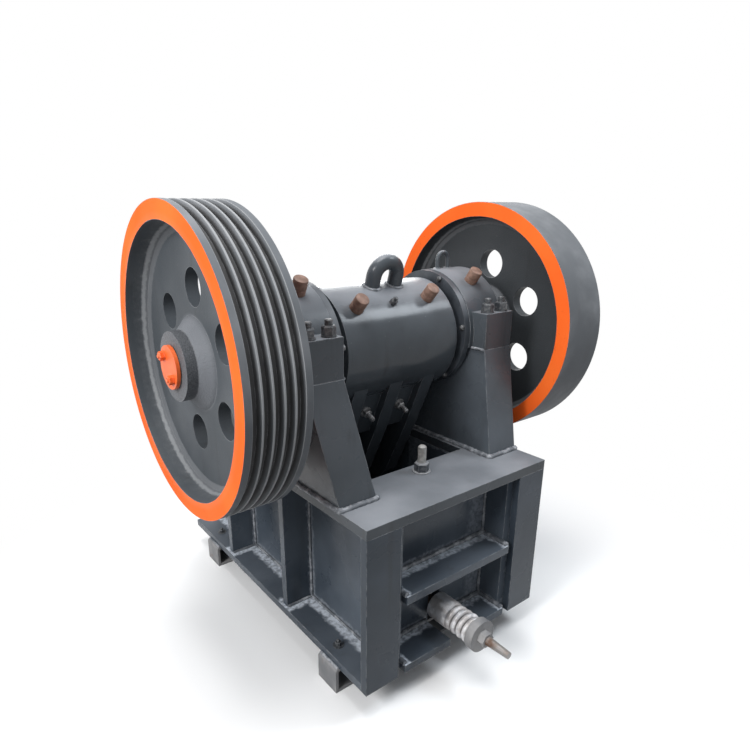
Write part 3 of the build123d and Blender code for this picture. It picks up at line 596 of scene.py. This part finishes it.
class Tree:
    """A geometry node tree with named sizes, ending in realized and finished mesh."""

    def __init__(self, name, **sizes):
        self.group = bpy.data.node_groups.new(name, "GeometryNodeTree")
        face = self.group.interface
        face.new_socket("Geometry", in_out="INPUT", socket_type="NodeSocketGeometry")
        face.new_socket("Geometry", in_out="OUTPUT", socket_type="NodeSocketGeometry")
        for label, value in sizes.items():
            kind = "NodeSocketInt" if isinstance(value, int) else "NodeSocketFloat"
            face.new_socket(label, in_out="INPUT", socket_type=kind).default_value = value
        face.new_socket("finish", in_out="INPUT", socket_type="NodeSocketMaterial")
        self.given = self.group.nodes.new("NodeGroupInput").outputs

    def add(self, kind, links=None, **settings):
        node = self.group.nodes.new(kind)
        for key, value in settings.items():
            setattr(node, key, value)
        for socket, value in (links or {}).items():
            if isinstance(value, bpy.types.NodeSocket):
                self.group.links.new(value, node.inputs[socket])
            else:
                node.inputs[socket].default_value = value
        return node

    def make(self, kind, links=None, **settings):
        """A node of which only the first result is wanted."""
        return self.add(kind, links, **settings).outputs[0]

    def calc(self, operation, first, second=0.0):
        return self.make("ShaderNodeMath", {0: first, 1: second}, operation=operation)

    def lift(self, geometry, height):
        """Raise a piece along its own axis."""
        shift = self.make("ShaderNodeCombineXYZ", {"Z": height})
        return self.make("GeometryNodeTransform", {"Geometry": geometry, "Translation": shift})

    def end(self, geometry):
        real = self.make("GeometryNodeRealizeInstances", {0: geometry})
        links = {"Geometry": real, "Material": self.given["finish"]}
        done = self.make("GeometryNodeSetMaterial", links)
        self.add("NodeGroupOutput", {0: done})
        return self


def bead_tree():
    """A lumpy bead laid along a path, as a weld run or a bent bar."""
    tree = Tree(
        "laid_bead", bead_radius=0.006, step=0.005, lumps=0.003,
        ripple=0.0008, ripple_pitch=0.009, sides=7,
    )
    lump_scale, lump_detail = 70.0, 3.0
    path = tree.make("GeometryNodeMeshToCurve", {0: tree.given["Geometry"]})
    links = {"Curve": path, "Length": tree.given["step"]}
    path = tree.make("GeometryNodeResampleCurve", links, mode="LENGTH")
    run = tree.add("GeometryNodeSplineParameter").outputs["Length"]
    keep = tree.add("GeometryNodeCaptureAttribute", {0: path}, domain="POINT")
    keep.capture_items.new("FLOAT", "run")
    tree.group.links.new(run, keep.inputs[1])
    links = {"Resolution": tree.given["sides"], "Radius": tree.given["bead_radius"]}
    section = tree.make("GeometryNodeCurvePrimitiveCircle", links)
    links = {"Curve": keep.outputs[0], "Profile Curve": section, "Fill Caps": True}
    bead = tree.make("GeometryNodeCurveToMesh", links)
    place = tree.make("GeometryNodeInputPosition")
    links = {"Vector": place, "Scale": lump_scale, "Detail": lump_detail}
    cloud = tree.make("ShaderNodeTexNoise", links)
    swell = tree.calc("MULTIPLY", tree.calc("SUBTRACT", cloud, 0.5), tree.given["lumps"])
    turns = tree.calc("DIVIDE", keep.outputs[1], tree.given["ripple_pitch"])
    wave = tree.calc("SINE", tree.calc("MULTIPLY", turns, math.tau))
    swell = tree.calc("ADD", swell, tree.calc("MULTIPLY", wave, tree.given["ripple"]))
    normal = tree.make("GeometryNodeInputNormal")
    push = tree.make("ShaderNodeVectorMath", {0: normal, "Scale": swell}, operation="SCALE")
    bead = tree.make("GeometryNodeSetPosition", {"Geometry": bead, "Offset": push})
    return tree.end(tree.make("GeometryNodeSetShadeSmooth", {"Geometry": bead}))


def fastener_tree():
    """Hexagon nut or head on a washer, with a threaded end, set along each point's own axis."""
    tree = Tree(
        "hexagon_fastener", across_flats=0.03, head_height=0.02,
        washer_radius=0.022, washer_thickness=0.003,
        stud_radius=0.009, stud_length=0.012, thread_pitch=0.003, seed=3,
    )
    bevel_height, bevel_top = 0.16, 0.86
    core_share, tip_top, tip_height, crest_share = 0.93, 0.8, 0.2, 0.34
    size = tree.given
    corner = tree.calc("DIVIDE", size["across_flats"], math.sqrt(3))
    links = {"Vertices": 28, "Radius": size["washer_radius"], "Depth": size["washer_thickness"]}
    washer = tree.make("GeometryNodeMeshCylinder", links)
    washer = tree.lift(washer, tree.calc("MULTIPLY", size["washer_thickness"], 0.5))
    body_height = tree.calc("MULTIPLY", size["head_height"], 1 - bevel_height)
    links = {"Vertices": 6, "Radius": corner, "Depth": body_height}
    head = tree.make("GeometryNodeMeshCylinder", links)
    half = tree.calc("MULTIPLY", body_height, 0.5)
    head = tree.lift(head, tree.calc("ADD", size["washer_thickness"], half))
    shoulder = tree.calc("ADD", size["washer_thickness"], body_height)
    links = {
        "Vertices": 6,
        "Radius Bottom": corner,
        "Radius Top": tree.calc("MULTIPLY", corner, bevel_top),
        "Depth": tree.calc("MULTIPLY", size["head_height"], bevel_height),
    }
    bevel = tree.lift(tree.make("GeometryNodeMeshCone", links), shoulder)
    top = tree.calc("ADD", size["washer_thickness"], size["head_height"])
    core = tree.calc("MULTIPLY", size["stud_radius"], core_share)
    links = {"Vertices": 20, "Radius": core, "Depth": size["stud_length"]}
    stud = tree.make("GeometryNodeMeshCylinder", links)
    stud = tree.lift(stud, tree.calc("ADD", top, tree.calc("MULTIPLY", size["stud_length"], 0.5)))
    links = {
        "Vertices": 20,
        "Radius Bottom": core,
        "Radius Top": tree.calc("MULTIPLY", core, tip_top),
        "Depth": tree.calc("MULTIPLY", size["stud_radius"], tip_height),
    }
    tip = tree.make("GeometryNodeMeshCone", links)
    tip = tree.lift(tip, tree.calc("ADD", top, size["stud_length"]))
    links = {
        "Resolution": 16,
        "Rotations": tree.calc("DIVIDE", size["stud_length"], size["thread_pitch"]),
        "Start Radius": core,
        "End Radius": core,
        "Height": size["stud_length"],
    }
    helix = tree.make("GeometryNodeCurveSpiral", links)
    links = {"Resolution": 4, "Radius": tree.calc("MULTIPLY", size["thread_pitch"], crest_share)}
    crest = tree.make("GeometryNodeCurvePrimitiveCircle", links)
    thread = tree.make("GeometryNodeCurveToMesh", {"Curve": helix, "Profile Curve": crest})
    thread = tree.lift(thread, top)
    whole = tree.add("GeometryNodeJoinGeometry")
    for piece in (washer, head, bevel, stud, tip, thread):
        tree.group.links.new(piece, whole.inputs[0])
    axis = tree.add("GeometryNodeInputNamedAttribute", {"Name": "axis"}, data_type="FLOAT_VECTOR")
    aim = tree.make("FunctionNodeAlignRotationToVector", {"Vector": axis.outputs[0]}, axis="Z")
    links = {"Points": size["Geometry"], "Instance": whole.outputs[0], "Rotation": aim}
    laid = tree.make("GeometryNodeInstanceOnPoints", links)
    turn = tree.add("FunctionNodeRandomValue", {2: 0.0, 3: math.tau, "Seed": size["seed"]}).outputs[1]
    spin = tree.make("ShaderNodeCombineXYZ", {"Z": turn})
    laid = tree.make("GeometryNodeRotateInstances", {"Instances": laid, "Rotation": spin})
    return tree.end(laid)


def coil_tree():
    """The spring's turns, wound along the rod."""
    tree = Tree(
        "coil_spring", turns=5.0, coil_radius=0.036, wire_radius=0.0075,
        length=0.1, start=-0.4, height=0.168,
    )
    links = {
        "Resolution": 40,
        "Rotations": tree.given["turns"],
        "Start Radius": tree.given["coil_radius"],
        "End Radius": tree.given["coil_radius"],
        "Height": tree.given["length"],
    }
    helix = tree.make("GeometryNodeCurveSpiral", links)
    links = {"Resolution": 14, "Radius": tree.given["wire_radius"]}
    section = tree.make("GeometryNodeCurvePrimitiveCircle", links)
    links = {"Curve": helix, "Profile Curve": section, "Fill Caps": True}
    coil = tree.make("GeometryNodeCurveToMesh", links)
    links = {"Y": tree.given["start"], "Z": tree.given["height"]}
    shift = tree.make("ShaderNodeCombineXYZ", links)
    links = {"Geometry": coil, "Translation": shift, "Rotation": (math.pi / 2, 0, 0)}
    coil = tree.make("GeometryNodeTransform", links)
    return tree.end(tree.make("GeometryNodeSetShadeSmooth", {"Geometry": coil}))


def grow(name, source, tree, finish, sizes):
    """Run a tree over a plain mesh and keep the result as a mesh of its own."""
    holder = bpy.data.objects.new(name + "_source", source)
    scene.collection.objects.link(holder)
    modifier = holder.modifiers.new("grow", "NODES")
    modifier.node_group = tree.group
    given = dict(sizes, finish=finish)
    for socket in tree.group.interface.items_tree:
        if socket.in_out == "INPUT" and socket.name in given:
            modifier[socket.identifier] = given[socket.name]
    graph = bpy.context.evaluated_depsgraph_get()
    mesh = bpy.data.meshes.new_from_object(holder.evaluated_get(graph), depsgraph=graph)
    bpy.data.objects.remove(holder)
    bpy.data.meshes.remove(source)
    mesh.name = name
    return mesh


def settle(name, mesh, body, stands_for=()):
    """Put a finished mesh into the scene, on the body that carries it."""
    piece = bpy.data.objects.new(name, mesh)
    scene.collection.objects.link(piece)
    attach(piece, body)
    if stands_for:
        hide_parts(*stands_for)


def path_mesh(runs):
    """Runs of points, each as an open row of edges."""
    points, edges = [], []
    for run in runs:
        first = len(points)
        points.extend(run)
        edges.extend((first + i, first + i + 1) for i in range(len(run) - 1))
    mesh = bpy.data.meshes.new("runs")
    mesh.from_pydata(points, edges, [])
    return mesh


def point_mesh(spots):
    """Points that each carry the axis of the fastener set there."""
    mesh = bpy.data.meshes.new("spots")
    mesh.from_pydata([place for place, _ in spots], [], [])
    axes = mesh.attributes.new("axis", "FLOAT_VECTOR", "POINT")
    for row, (_, axis) in zip(axes.data, spots):
        row.vector = axis
    return mesh


def turned(profile, spots, sides=36):
    """Solids of revolution: a profile of radius and height, set at each spot along its axis."""
    sharp_angle = math.radians(35)
    body = bmesh.new()
    for place, axis in spots:
        turn = axis.to_track_quat("Z", "Y").to_matrix()
        rings = []
        for radius, height in profile:
            if radius == 0:
                rings.append([body.verts.new(place + turn @ Vector((0, 0, height)))])
                continue
            ring = []
            for step in range(sides):
                angle = math.tau * step / sides
                spot = Vector((radius * math.cos(angle), radius * math.sin(angle), height))
                ring.append(body.verts.new(place + turn @ spot))
            rings.append(ring)
        for low, high in zip(rings, rings[1:]):
            for step in range(sides):
                after = (step + 1) % sides
                if len(low) == 1:
                    body.faces.new((low[0], high[after], high[step]))
                elif len(high) == 1:
                    body.faces.new((low[step], low[after], high[0]))
                else:
                    body.faces.new((low[step], low[after], high[after], high[step]))
    bmesh.ops.recalc_face_normals(body, faces=body.faces)
    mesh = bpy.data.meshes.new("turned")
    body.to_mesh(mesh)
    body.free()
    mesh.shade_smooth()
    mesh.set_sharp_from_angle(angle=sharp_angle)
    return mesh


# Welds

# How far the middle of a plain bead stands off the plates that it joins, in millimetres
BEAD = 3.0


def both_sides(runs):
    return [[at(side * x, y, z) for x, y, z in run] for side in (-1, 1) for run in runs]


def heavy_weld_runs():
    """Broad runs round the pedestals' feet, on the rear shelf and on the bottom plates."""
    foot, shelf, bottom = LEDGE_TOP + BEAD, SHELF_TOP + BEAD, FLANGE_TOP + BEAD
    inner, outer, reach = PEDESTAL_IN - 2, PEDESTAL_OUT + 2, PEDESTAL_REACH + 2
    outer_foot = [(PEDESTAL_IN + 2, -reach, foot), (outer, -reach, foot), (outer, reach, foot)]
    halfway = -20
    inner_foot = [(PEDESTAL_IN, PEDESTAL_REACH - 3, foot), (inner, halfway, foot)]
    inner_foot += [(inner, -PEDESTAL_REACH, foot), (PEDESTAL_IN + 4, -PEDESTAL_REACH - 3, foot)]
    side, corner, behind = CHAMBER - BEAD, WALL_REAR - 6, WALL_REAR - 4
    shelf_side = [(side, SHELF_REAR, shelf), (side, corner, shelf)]
    bottom_side = [(side, SHELF_REAR, bottom), (side, corner, bottom), (ROD_GAP + 4, behind, bottom)]
    runs = both_sides([outer_foot, inner_foot, shelf_side, bottom_side])
    runs.append([at(x, behind, shelf) for x in (2 - CHAMBER, CHAMBER - 2)])
    return runs


def bay_end(outer, y):
    """A run that goes in along the flange, up the side plate and out along the ledge."""
    inner, low, high = SIDE_OUT + 4, FLANGE_TOP + BEAD, LEDGE_LOW - BEAD
    return [(outer, y, low), (inner, y, low), (inner, y, high), (outer, y, high)]


def side_weld_runs():
    """Runs round the three bays between the ribs of a side plate."""
    runs = []
    for rib in RIBS:
        for face in (rib - BEAD, rib + RIB_THICKNESS + BEAD):
            runs.append(bay_end(RIB_OUT - 2, face))
    gap = 4
    starts = [END_PLATE + 2] + [rib + RIB_THICKNESS + gap for rib in RIBS]
    stops = [rib - gap for rib in RIBS]
    foot_end, ledge_end = SIDE_FRONT - 7, UPPER_WALL_FRONT - gap
    for height, end in ((FLANGE_TOP + BEAD, foot_end), (LEDGE_LOW - BEAD, ledge_end)):
        for start, stop in zip(starts, stops + [end]):
            runs.append([(SIDE_OUT + BEAD, start, height), (SIDE_OUT + BEAD, stop, height)])
    runs.append(bay_end(RIB_OUT + 2, END_PLATE + BEAD))
    return runs


def front_weld_runs():
    """Runs where the ribs and the sides meet the front wall."""
    side, front = CHAMBER - BEAD, FRONT_FACE + BEAD
    low_rib, middle_rib, top_rib = FRONT_RIBS
    wall_low, rib_start, rib_end, top_rib_end, gap = 120, 4, CHAMBER - 6, 238, 4
    runs = [[(side, front, wall_low), (side, front, low_rib - gap)]]
    runs.append([(side, front, low_rib + RIB_THICKNESS + BEAD), (side, front, middle_rib - gap)])
    for rib, end in ((low_rib, rib_end), (middle_rib, rib_end), (top_rib, top_rib_end)):
        for height in (rib - BEAD, rib + RIB_THICKNESS + BEAD):
            runs.append([(rib_start, front, height), (end, front, height)])
    return runs


def plain_weld_runs():
    """Slim runs of the side plates, rear wall, bearing blocks, upper walls, feet and front wall."""
    side, behind = CHAMBER - BEAD, WALL_REAR - BEAD
    shelf_low, ledge_low, ledge = SHELF_LOW - BEAD, LEDGE_LOW - BEAD, LEDGE_TOP + BEAD
    runs = side_weld_runs()
    runs.append([(side, behind, SHELF_TOP + 6), (side, behind, LEDGE_LOW - 2)])
    runs.append([(side, behind, FLANGE_TOP + BEAD), (side, behind, shelf_low)])
    cap_edge, start, feed_end = -190, PEDESTAL_REACH + 5, FEED_FACE - 6
    runs.append([(HEAD_IN - 2, y, BLOCK_LOW) for y in (2 - HEAD_REACH, cap_edge)])
    runs.append([(UPPER_WALL_OUT + 2, y, ledge) for y in (start, UPPER_WALL_FRONT - 4)])
    runs.append([(PEDESTAL_IN - 2, y, ledge) for y in (start, feed_end)])
    for foot in FEET:
        reach = FOOT_REACH - 2
        runs.append([(FRAME_OUT + 2, y, FOOT_TOP) for y in (foot - reach, foot + reach)])
    made = both_sides(runs + front_weld_runs())
    for height in (shelf_low, ledge_low):
        made.append([at(x, behind, height) for x in (4 - CHAMBER, CHAMBER - 4)])
    return made


def foot_rings(x, bend, degrees, radius, reach, centre, count=36):
    """Rings that hug a round body about the two legs of an eye that stands on it."""
    rings = []
    for leg in (x - bend, x + bend):
        ring = []
        for step in range(count + 1):
            angle = math.tau * step / count
            lean = degrees + math.degrees(reach * math.sin(angle) / radius)
            ring.append(around(leg + reach * math.cos(angle), radius, lean, centre))
        rings.append(ring)
    return rings


def lay_welds(bead, finish):
    heavy = {"bead_radius": 0.0085, "lumps": 0.008, "ripple": 0.001, "ripple_pitch": 0.014}
    plain = {"bead_radius": 0.0048, "lumps": 0.0035}
    eye = {"bead_radius": 0.006, "lumps": 0.005, "step": 0.004}
    cap_eye = {"bead_radius": 0.0035, "lumps": 0.002, "step": 0.003}
    reach, cap_reach = 24, 9
    eye_feet = foot_rings(EYE_X, EYE_BEND, EYE_LEAN, BARREL_R, reach, BARREL)
    cap_eye_feet = foot_rings(CAP_EYE_X, CAP_EYE_BEND, CAP_EYE_LEAN, CAP_R, cap_reach, SHAFT)
    for name, runs, sizes, body in (
        ("heavy_welds", heavy_weld_runs(), heavy, "frame"),
        ("plate_welds", plain_weld_runs(), plain, "frame"),
        ("eye_welds", eye_feet, eye, "pitman"),
        ("cap_eye_welds", cap_eye_feet, cap_eye, "frame"),
    ):
        settle(name, grow(name, path_mesh(runs), bead, finish, sizes), body)


# Eyes, fasteners, caps and spring


def eye_path(x, radius, degrees, centre, bend, leg, steps=28):
    """A bar bent to a loop that stands on a round top."""
    up = outward(degrees)
    foot = around(x, radius, degrees, centre)
    path = [foot + Vector((-bend, 0, 0)) / 1000]
    for step in range(steps + 1):
        angle = math.pi * step / steps
        across = Vector((-bend * math.cos(angle), 0, 0)) / 1000
        path.append(foot + across + up * (leg + bend * math.sin(angle)) / 1000)
    path.append(foot + Vector((bend, 0, 0)) / 1000)
    return path


def bend_eyes(bead, finish):
    """The two eyes as round bars; the lifting eye's legs are sunk into the barrel."""
    sink, leg, cap_leg = 4, 36, 28
    plain = {"lumps": 0.0008, "ripple": 0.0, "step": 0.006}
    path = eye_path(EYE_X, BARREL_R - sink, EYE_LEAN, BARREL, EYE_BEND, leg)
    sizes = dict(plain, bead_radius=0.0232, sides=28)
    mesh = grow("bent_lifting_eye", path_mesh([path]), bead, finish, sizes)
    settle("bent_lifting_eye", mesh, "pitman", ["lifting_eye"])
    path = eye_path(CAP_EYE_X, CAP_R, CAP_EYE_LEAN, SHAFT, CAP_EYE_BEND, cap_leg)
    sizes = dict(plain, bead_radius=0.0075, sides=20, step=0.004)
    mesh = grow("bent_cap_eye", path_mesh([path]), bead, finish, sizes)
    settle("bent_cap_eye", mesh, "frame", ["cap_eye"])


def hexagon(across_flats, head_height, washer, stud, thread_pitch=0.003):
    """A fastener's sizes in metres; washer and stud are each a radius and a length."""
    sizes = {"across_flats": across_flats, "head_height": head_height, "thread_pitch": thread_pitch}
    sizes["washer_radius"], sizes["washer_thickness"] = washer
    sizes["stud_radius"], sizes["stud_length"] = stud
    return sizes


def set_fasteners(tree, orange):
    """Bolts, nuts and studs, each set along its own axis."""
    up, off_plate = Vector((0, 0, 1)), Vector((0, -0.918, -0.396))
    dark = dark_paint()
    zinc, dull_zinc = zinc_steel("zinc_steel", BRIGHT_ZINC), zinc_steel("dull_zinc_steel", DULL_ZINC)
    foot_x, foot_rows = 322, (-262, 570)
    cap_columns, cap_rows = (307, 372), (-220, 220)
    ring_x, ring_start, ring_step, ring_count = 240, 22, 60, 6
    clamp_x, clamp_y, clamp_z = 70, -71.1, 760
    nipple_x, nipple_lean = -10, 44
    adjuster_x, adjuster_y = -11, -275
    keeper_rows = ((25, 27), (-25, -27))
    feet, caps, keepers, rings = [], [], [], []
    for side in (-1, 1):
        feet += [(at(side * foot_x, y, FLANGE_TOP), up) for y in foot_rows]
        caps += [(at(side * x, y, BLOCK_TOP), up) for x in cap_columns for y in cap_rows]
        for y, z in keeper_rows:
            keepers.append((at(side * SHAFT_END, y, SHAFT + z), Vector((side, 0, 0))))
        for step in range(ring_count):
            place = around(side * ring_x, SEAL_BOLT_R, ring_start + ring_step * step)
            rings.append((place, Vector((-side, 0, 0))))
    adjuster = [(at(adjuster_x, adjuster_y, LEDGE_TOP), up)]
    stud_finish, stud_node = nut_and_stud(), ["adjusting_stud"]
    nipple = [(around(nipple_x, BARREL_R - 1, nipple_lean, BARREL), outward(nipple_lean))]
    clamps = [(at(x, clamp_y, clamp_z), off_plate) for x in (-clamp_x, clamp_x)]
    foot_bolt = hexagon(0.019, 0.012, (0.017, 0.002), (0.0055, 0.005))
    cap_nut = hexagon(0.034, 0.026, (0.021, 0.004), (0.011, 0.014))
    keeper_bolt = hexagon(0.022, 0.012, (0.013, 0.002), (0.006, 0.002))
    adjuster_nut = hexagon(0.0398, 0.028, (0.028, 0.004), (0.013, 0.05), 0.004)
    grease_nipple = hexagon(0.02, 0.014, (0.012, 0.002), (0.006, 0.009), 0.004)
    clamp_stud = hexagon(0.026, 0.015, (0.019, 0.003), (0.008, 0.026))
    ring_bolt = hexagon(0.016, 0.008, (0.0095, 0.0015), (0.004, 0.001))
    for name, spots, sizes, finish, body, slot, stands_for in (
        ("foot_bolts", feet, foot_bolt, dark, "frame", "slate_paint", ()),
        ("cap_nuts", caps, cap_nut, dark, "frame", "slate_paint", ()),
        ("keeper_bolts", keepers, keeper_bolt, orange, "rotor", "orange_paint", ()),
        ("threaded_adjuster", adjuster, adjuster_nut, stud_finish, "frame", "bare_steel", stud_node),
        ("grease_nipple", nipple, grease_nipple, dark, "pitman", "slate_paint", ()),
        ("jaw_clamp_studs", clamps, clamp_stud, zinc, "pitman", "bare_steel", ()),
        ("seal_ring_bolts", rings, ring_bolt, dull_zinc, "frame", "black_paint", ()),
    ):
        settle(name, grow(name, point_mesh(spots), tree, finish, sizes), body, stands_for)


def turn_caps(brown):
    """The brown filler caps on the barrel and on the bearing housings."""
    outline = [(0, 45), (17.5, 45), (20, 43.6), (21, 41), (21, 18), (20.1, 17)]
    outline += [(20.1, 15), (21, 14), (21, -3), (0, -3)]
    outline = [(radius / 1000, height / 1000) for radius, height in outline]
    barrel, housings = ((-148, 45), (133, 42)), ((-318, 28), (339, 35))
    for name, places, radius, centre, body, node in (
        ("barrel_filler_caps", barrel, BARREL_R, BARREL, "pitman", "pitman_plugs"),
        ("housing_filler_caps", housings, CAP_R, SHAFT, "frame", "bearing_plugs"),
    ):
        spots = [(around(x, radius, lean, centre), outward(lean)) for x, lean in places]
        caps = turned(outline, spots)
        caps.materials.append(brown)
        settle(name, caps, body, [node])


def wind_spring(tree, steel):
    """The spring's turns on the rod, and the cup that holds their front end."""
    sizes = {"turns": 5.2, "coil_radius": 0.0345, "wire_radius": 0.0092, "length": 0.114}
    sizes["start"], sizes["height"] = -0.407 + SHAFT_Y, ROD / 1000
    coil = grow("coil_spring", bpy.data.meshes.new("coil_seed"), tree, steel, sizes)
    settle("coil_spring", coil, "pitman", ["tension_spring"])
    outline = [(31, 0), (41, 0), (43, 1), (44, 3), (44, 70), (43, 73), (41, 74), (31, 74), (31, 0)]
    outline = [(radius / 1000, height / 1000) for radius, height in outline]
    cup = turned(outline, [(at(0, SPRING_FRONT, ROD), Vector((0, -1, 0)))], 48)
    cup.materials.append(steel)
    settle("spring_cup", cup, "pitman")


# Coats of the solids


def slot_finishes():
    """One finish for each material slot of the record."""
    return {
        "slate_paint": slate_paint("slate_paint", 0.12, DUST, tones=GREY_SLATE),
        "orange_paint": orange_paint(),
        "brown_cap": brown_cap_plastic(),
        "wear_steel": wear_steel(),
        "bare_steel": bare_steel(),
        "black_paint": black_paint(),
    }


def own_finishes():
    """Finishes of the nodes that differ from the rest of their slot; the pale corner strips are in
    metres.
    """
    rib_faces = [SHAFT_Y + face / 1000 for rib in RIBS for face in (rib, rib + RIB_THICKNESS)]
    side, chamber = SIDE_OUT / 1000, CHAMBER / 1000
    flange, ledge, shelf = FLANGE_TOP / 1000, LEDGE_LOW / 1000, (SHELF_TOP + BEAD) / 1000
    wall = SHAFT_Y + (WALL_REAR - 6) / 1000
    # The pale strips on the flange tops are dust with a painted sky reflection.
    on_flange = [("X", side, 0.042)] + [("Y", face, 0.034) for face in rib_faces]
    on_plate = [("Y", face, 0.022) for face in rib_faces] + [("Z", flange, 0.02), ("Z", ledge, 0.012)]
    on_shelf = [("X", chamber, 0.026), ("Y", wall, 0.034)]
    # The wide pale strips at both ends of the rear wall are painted light in the recess.
    on_wall = [("X", chamber, 0.085), ("Z", shelf, 0.02), ("Z", flange, 0.02)]
    on_rib = [("X", side, 0.014)]
    primer = foot_primer()
    shelf_slate = slate_paint("shelf_slate_paint", 0.2, DUST, settled=0.1, corners=on_shelf)
    own = {
        "flywheel": wheel_paint("flywheel_paint", False),
        "belt_pulley": wheel_paint("pulley_paint", True),
        "pitman": slate_paint("glossy_slate_paint", 0.1, DUST, 0.26, tones=GREY_SLATE),
        # The right pedestal takes a heavier pale film.
        "right_pedestal": slate_paint("heavy_film_slate_paint", 0.5, DUST, tones=GREY_SLATE),
        # The rear wall's heavier pale film is painted light in the recess.
        "rear_wall": slate_paint("wall_slate_paint", 0.3, DUST, corners=on_wall, lying=False),
        "rear_shelf": shelf_slate,
        "rear_foot": primer,
        "front_foot": primer,
        "rod_collar": primer,
    }
    paired = {
        # The rear end plates are darkened all over by a film of painted shade.
        "rear_end_plate": slate_paint("shaded_slate_paint", 0.8, DUST, film_dust_and_shade_colour=DEEP_SHADE),
        # The side plates and ribs take a pale dust on what faces up, lightened as a painted sky
        # reflection.
        "side_plate": slate_paint("plate_slate_paint", 0.5, PALE_DUST_AND_SHEEN, corners=on_plate, lying=False),
        "base_flange": slate_paint("flange_slate_paint", 0.3, DUST, settled=0.16, corners=on_flange),
        "side_ribs": slate_paint("rib_slate_paint", 0.4, PALE_DUST_AND_SHEEN, corners=on_rib, lying=False),
        "bottom_plate": shelf_slate,
    }
    for name, finish in paired.items():
        own["left_" + name] = finish
        own["right_" + name] = finish
    return own


def coat_nodes(finishes, own):
    slots = {row["node"]: row["material_slot"] for row in frame["record"]["subparts"]}
    for name, node in frame["nodes"].items():
        node.data.materials.clear()
        node.data.materials.append(own.get(name) or finishes[slots[name]])


place_camera()
light_studio()
lay_floor()
finishes = slot_finishes()
coat_nodes(finishes, own_finishes())
bead = bead_tree()
lay_welds(bead, weld_paint())
bend_eyes(bead, finishes["slate_paint"])
set_fasteners(fastener_tree(), finishes["orange_paint"])
turn_caps(finishes["brown_cap"])
wind_spring(coil_tree(), spring_steel())
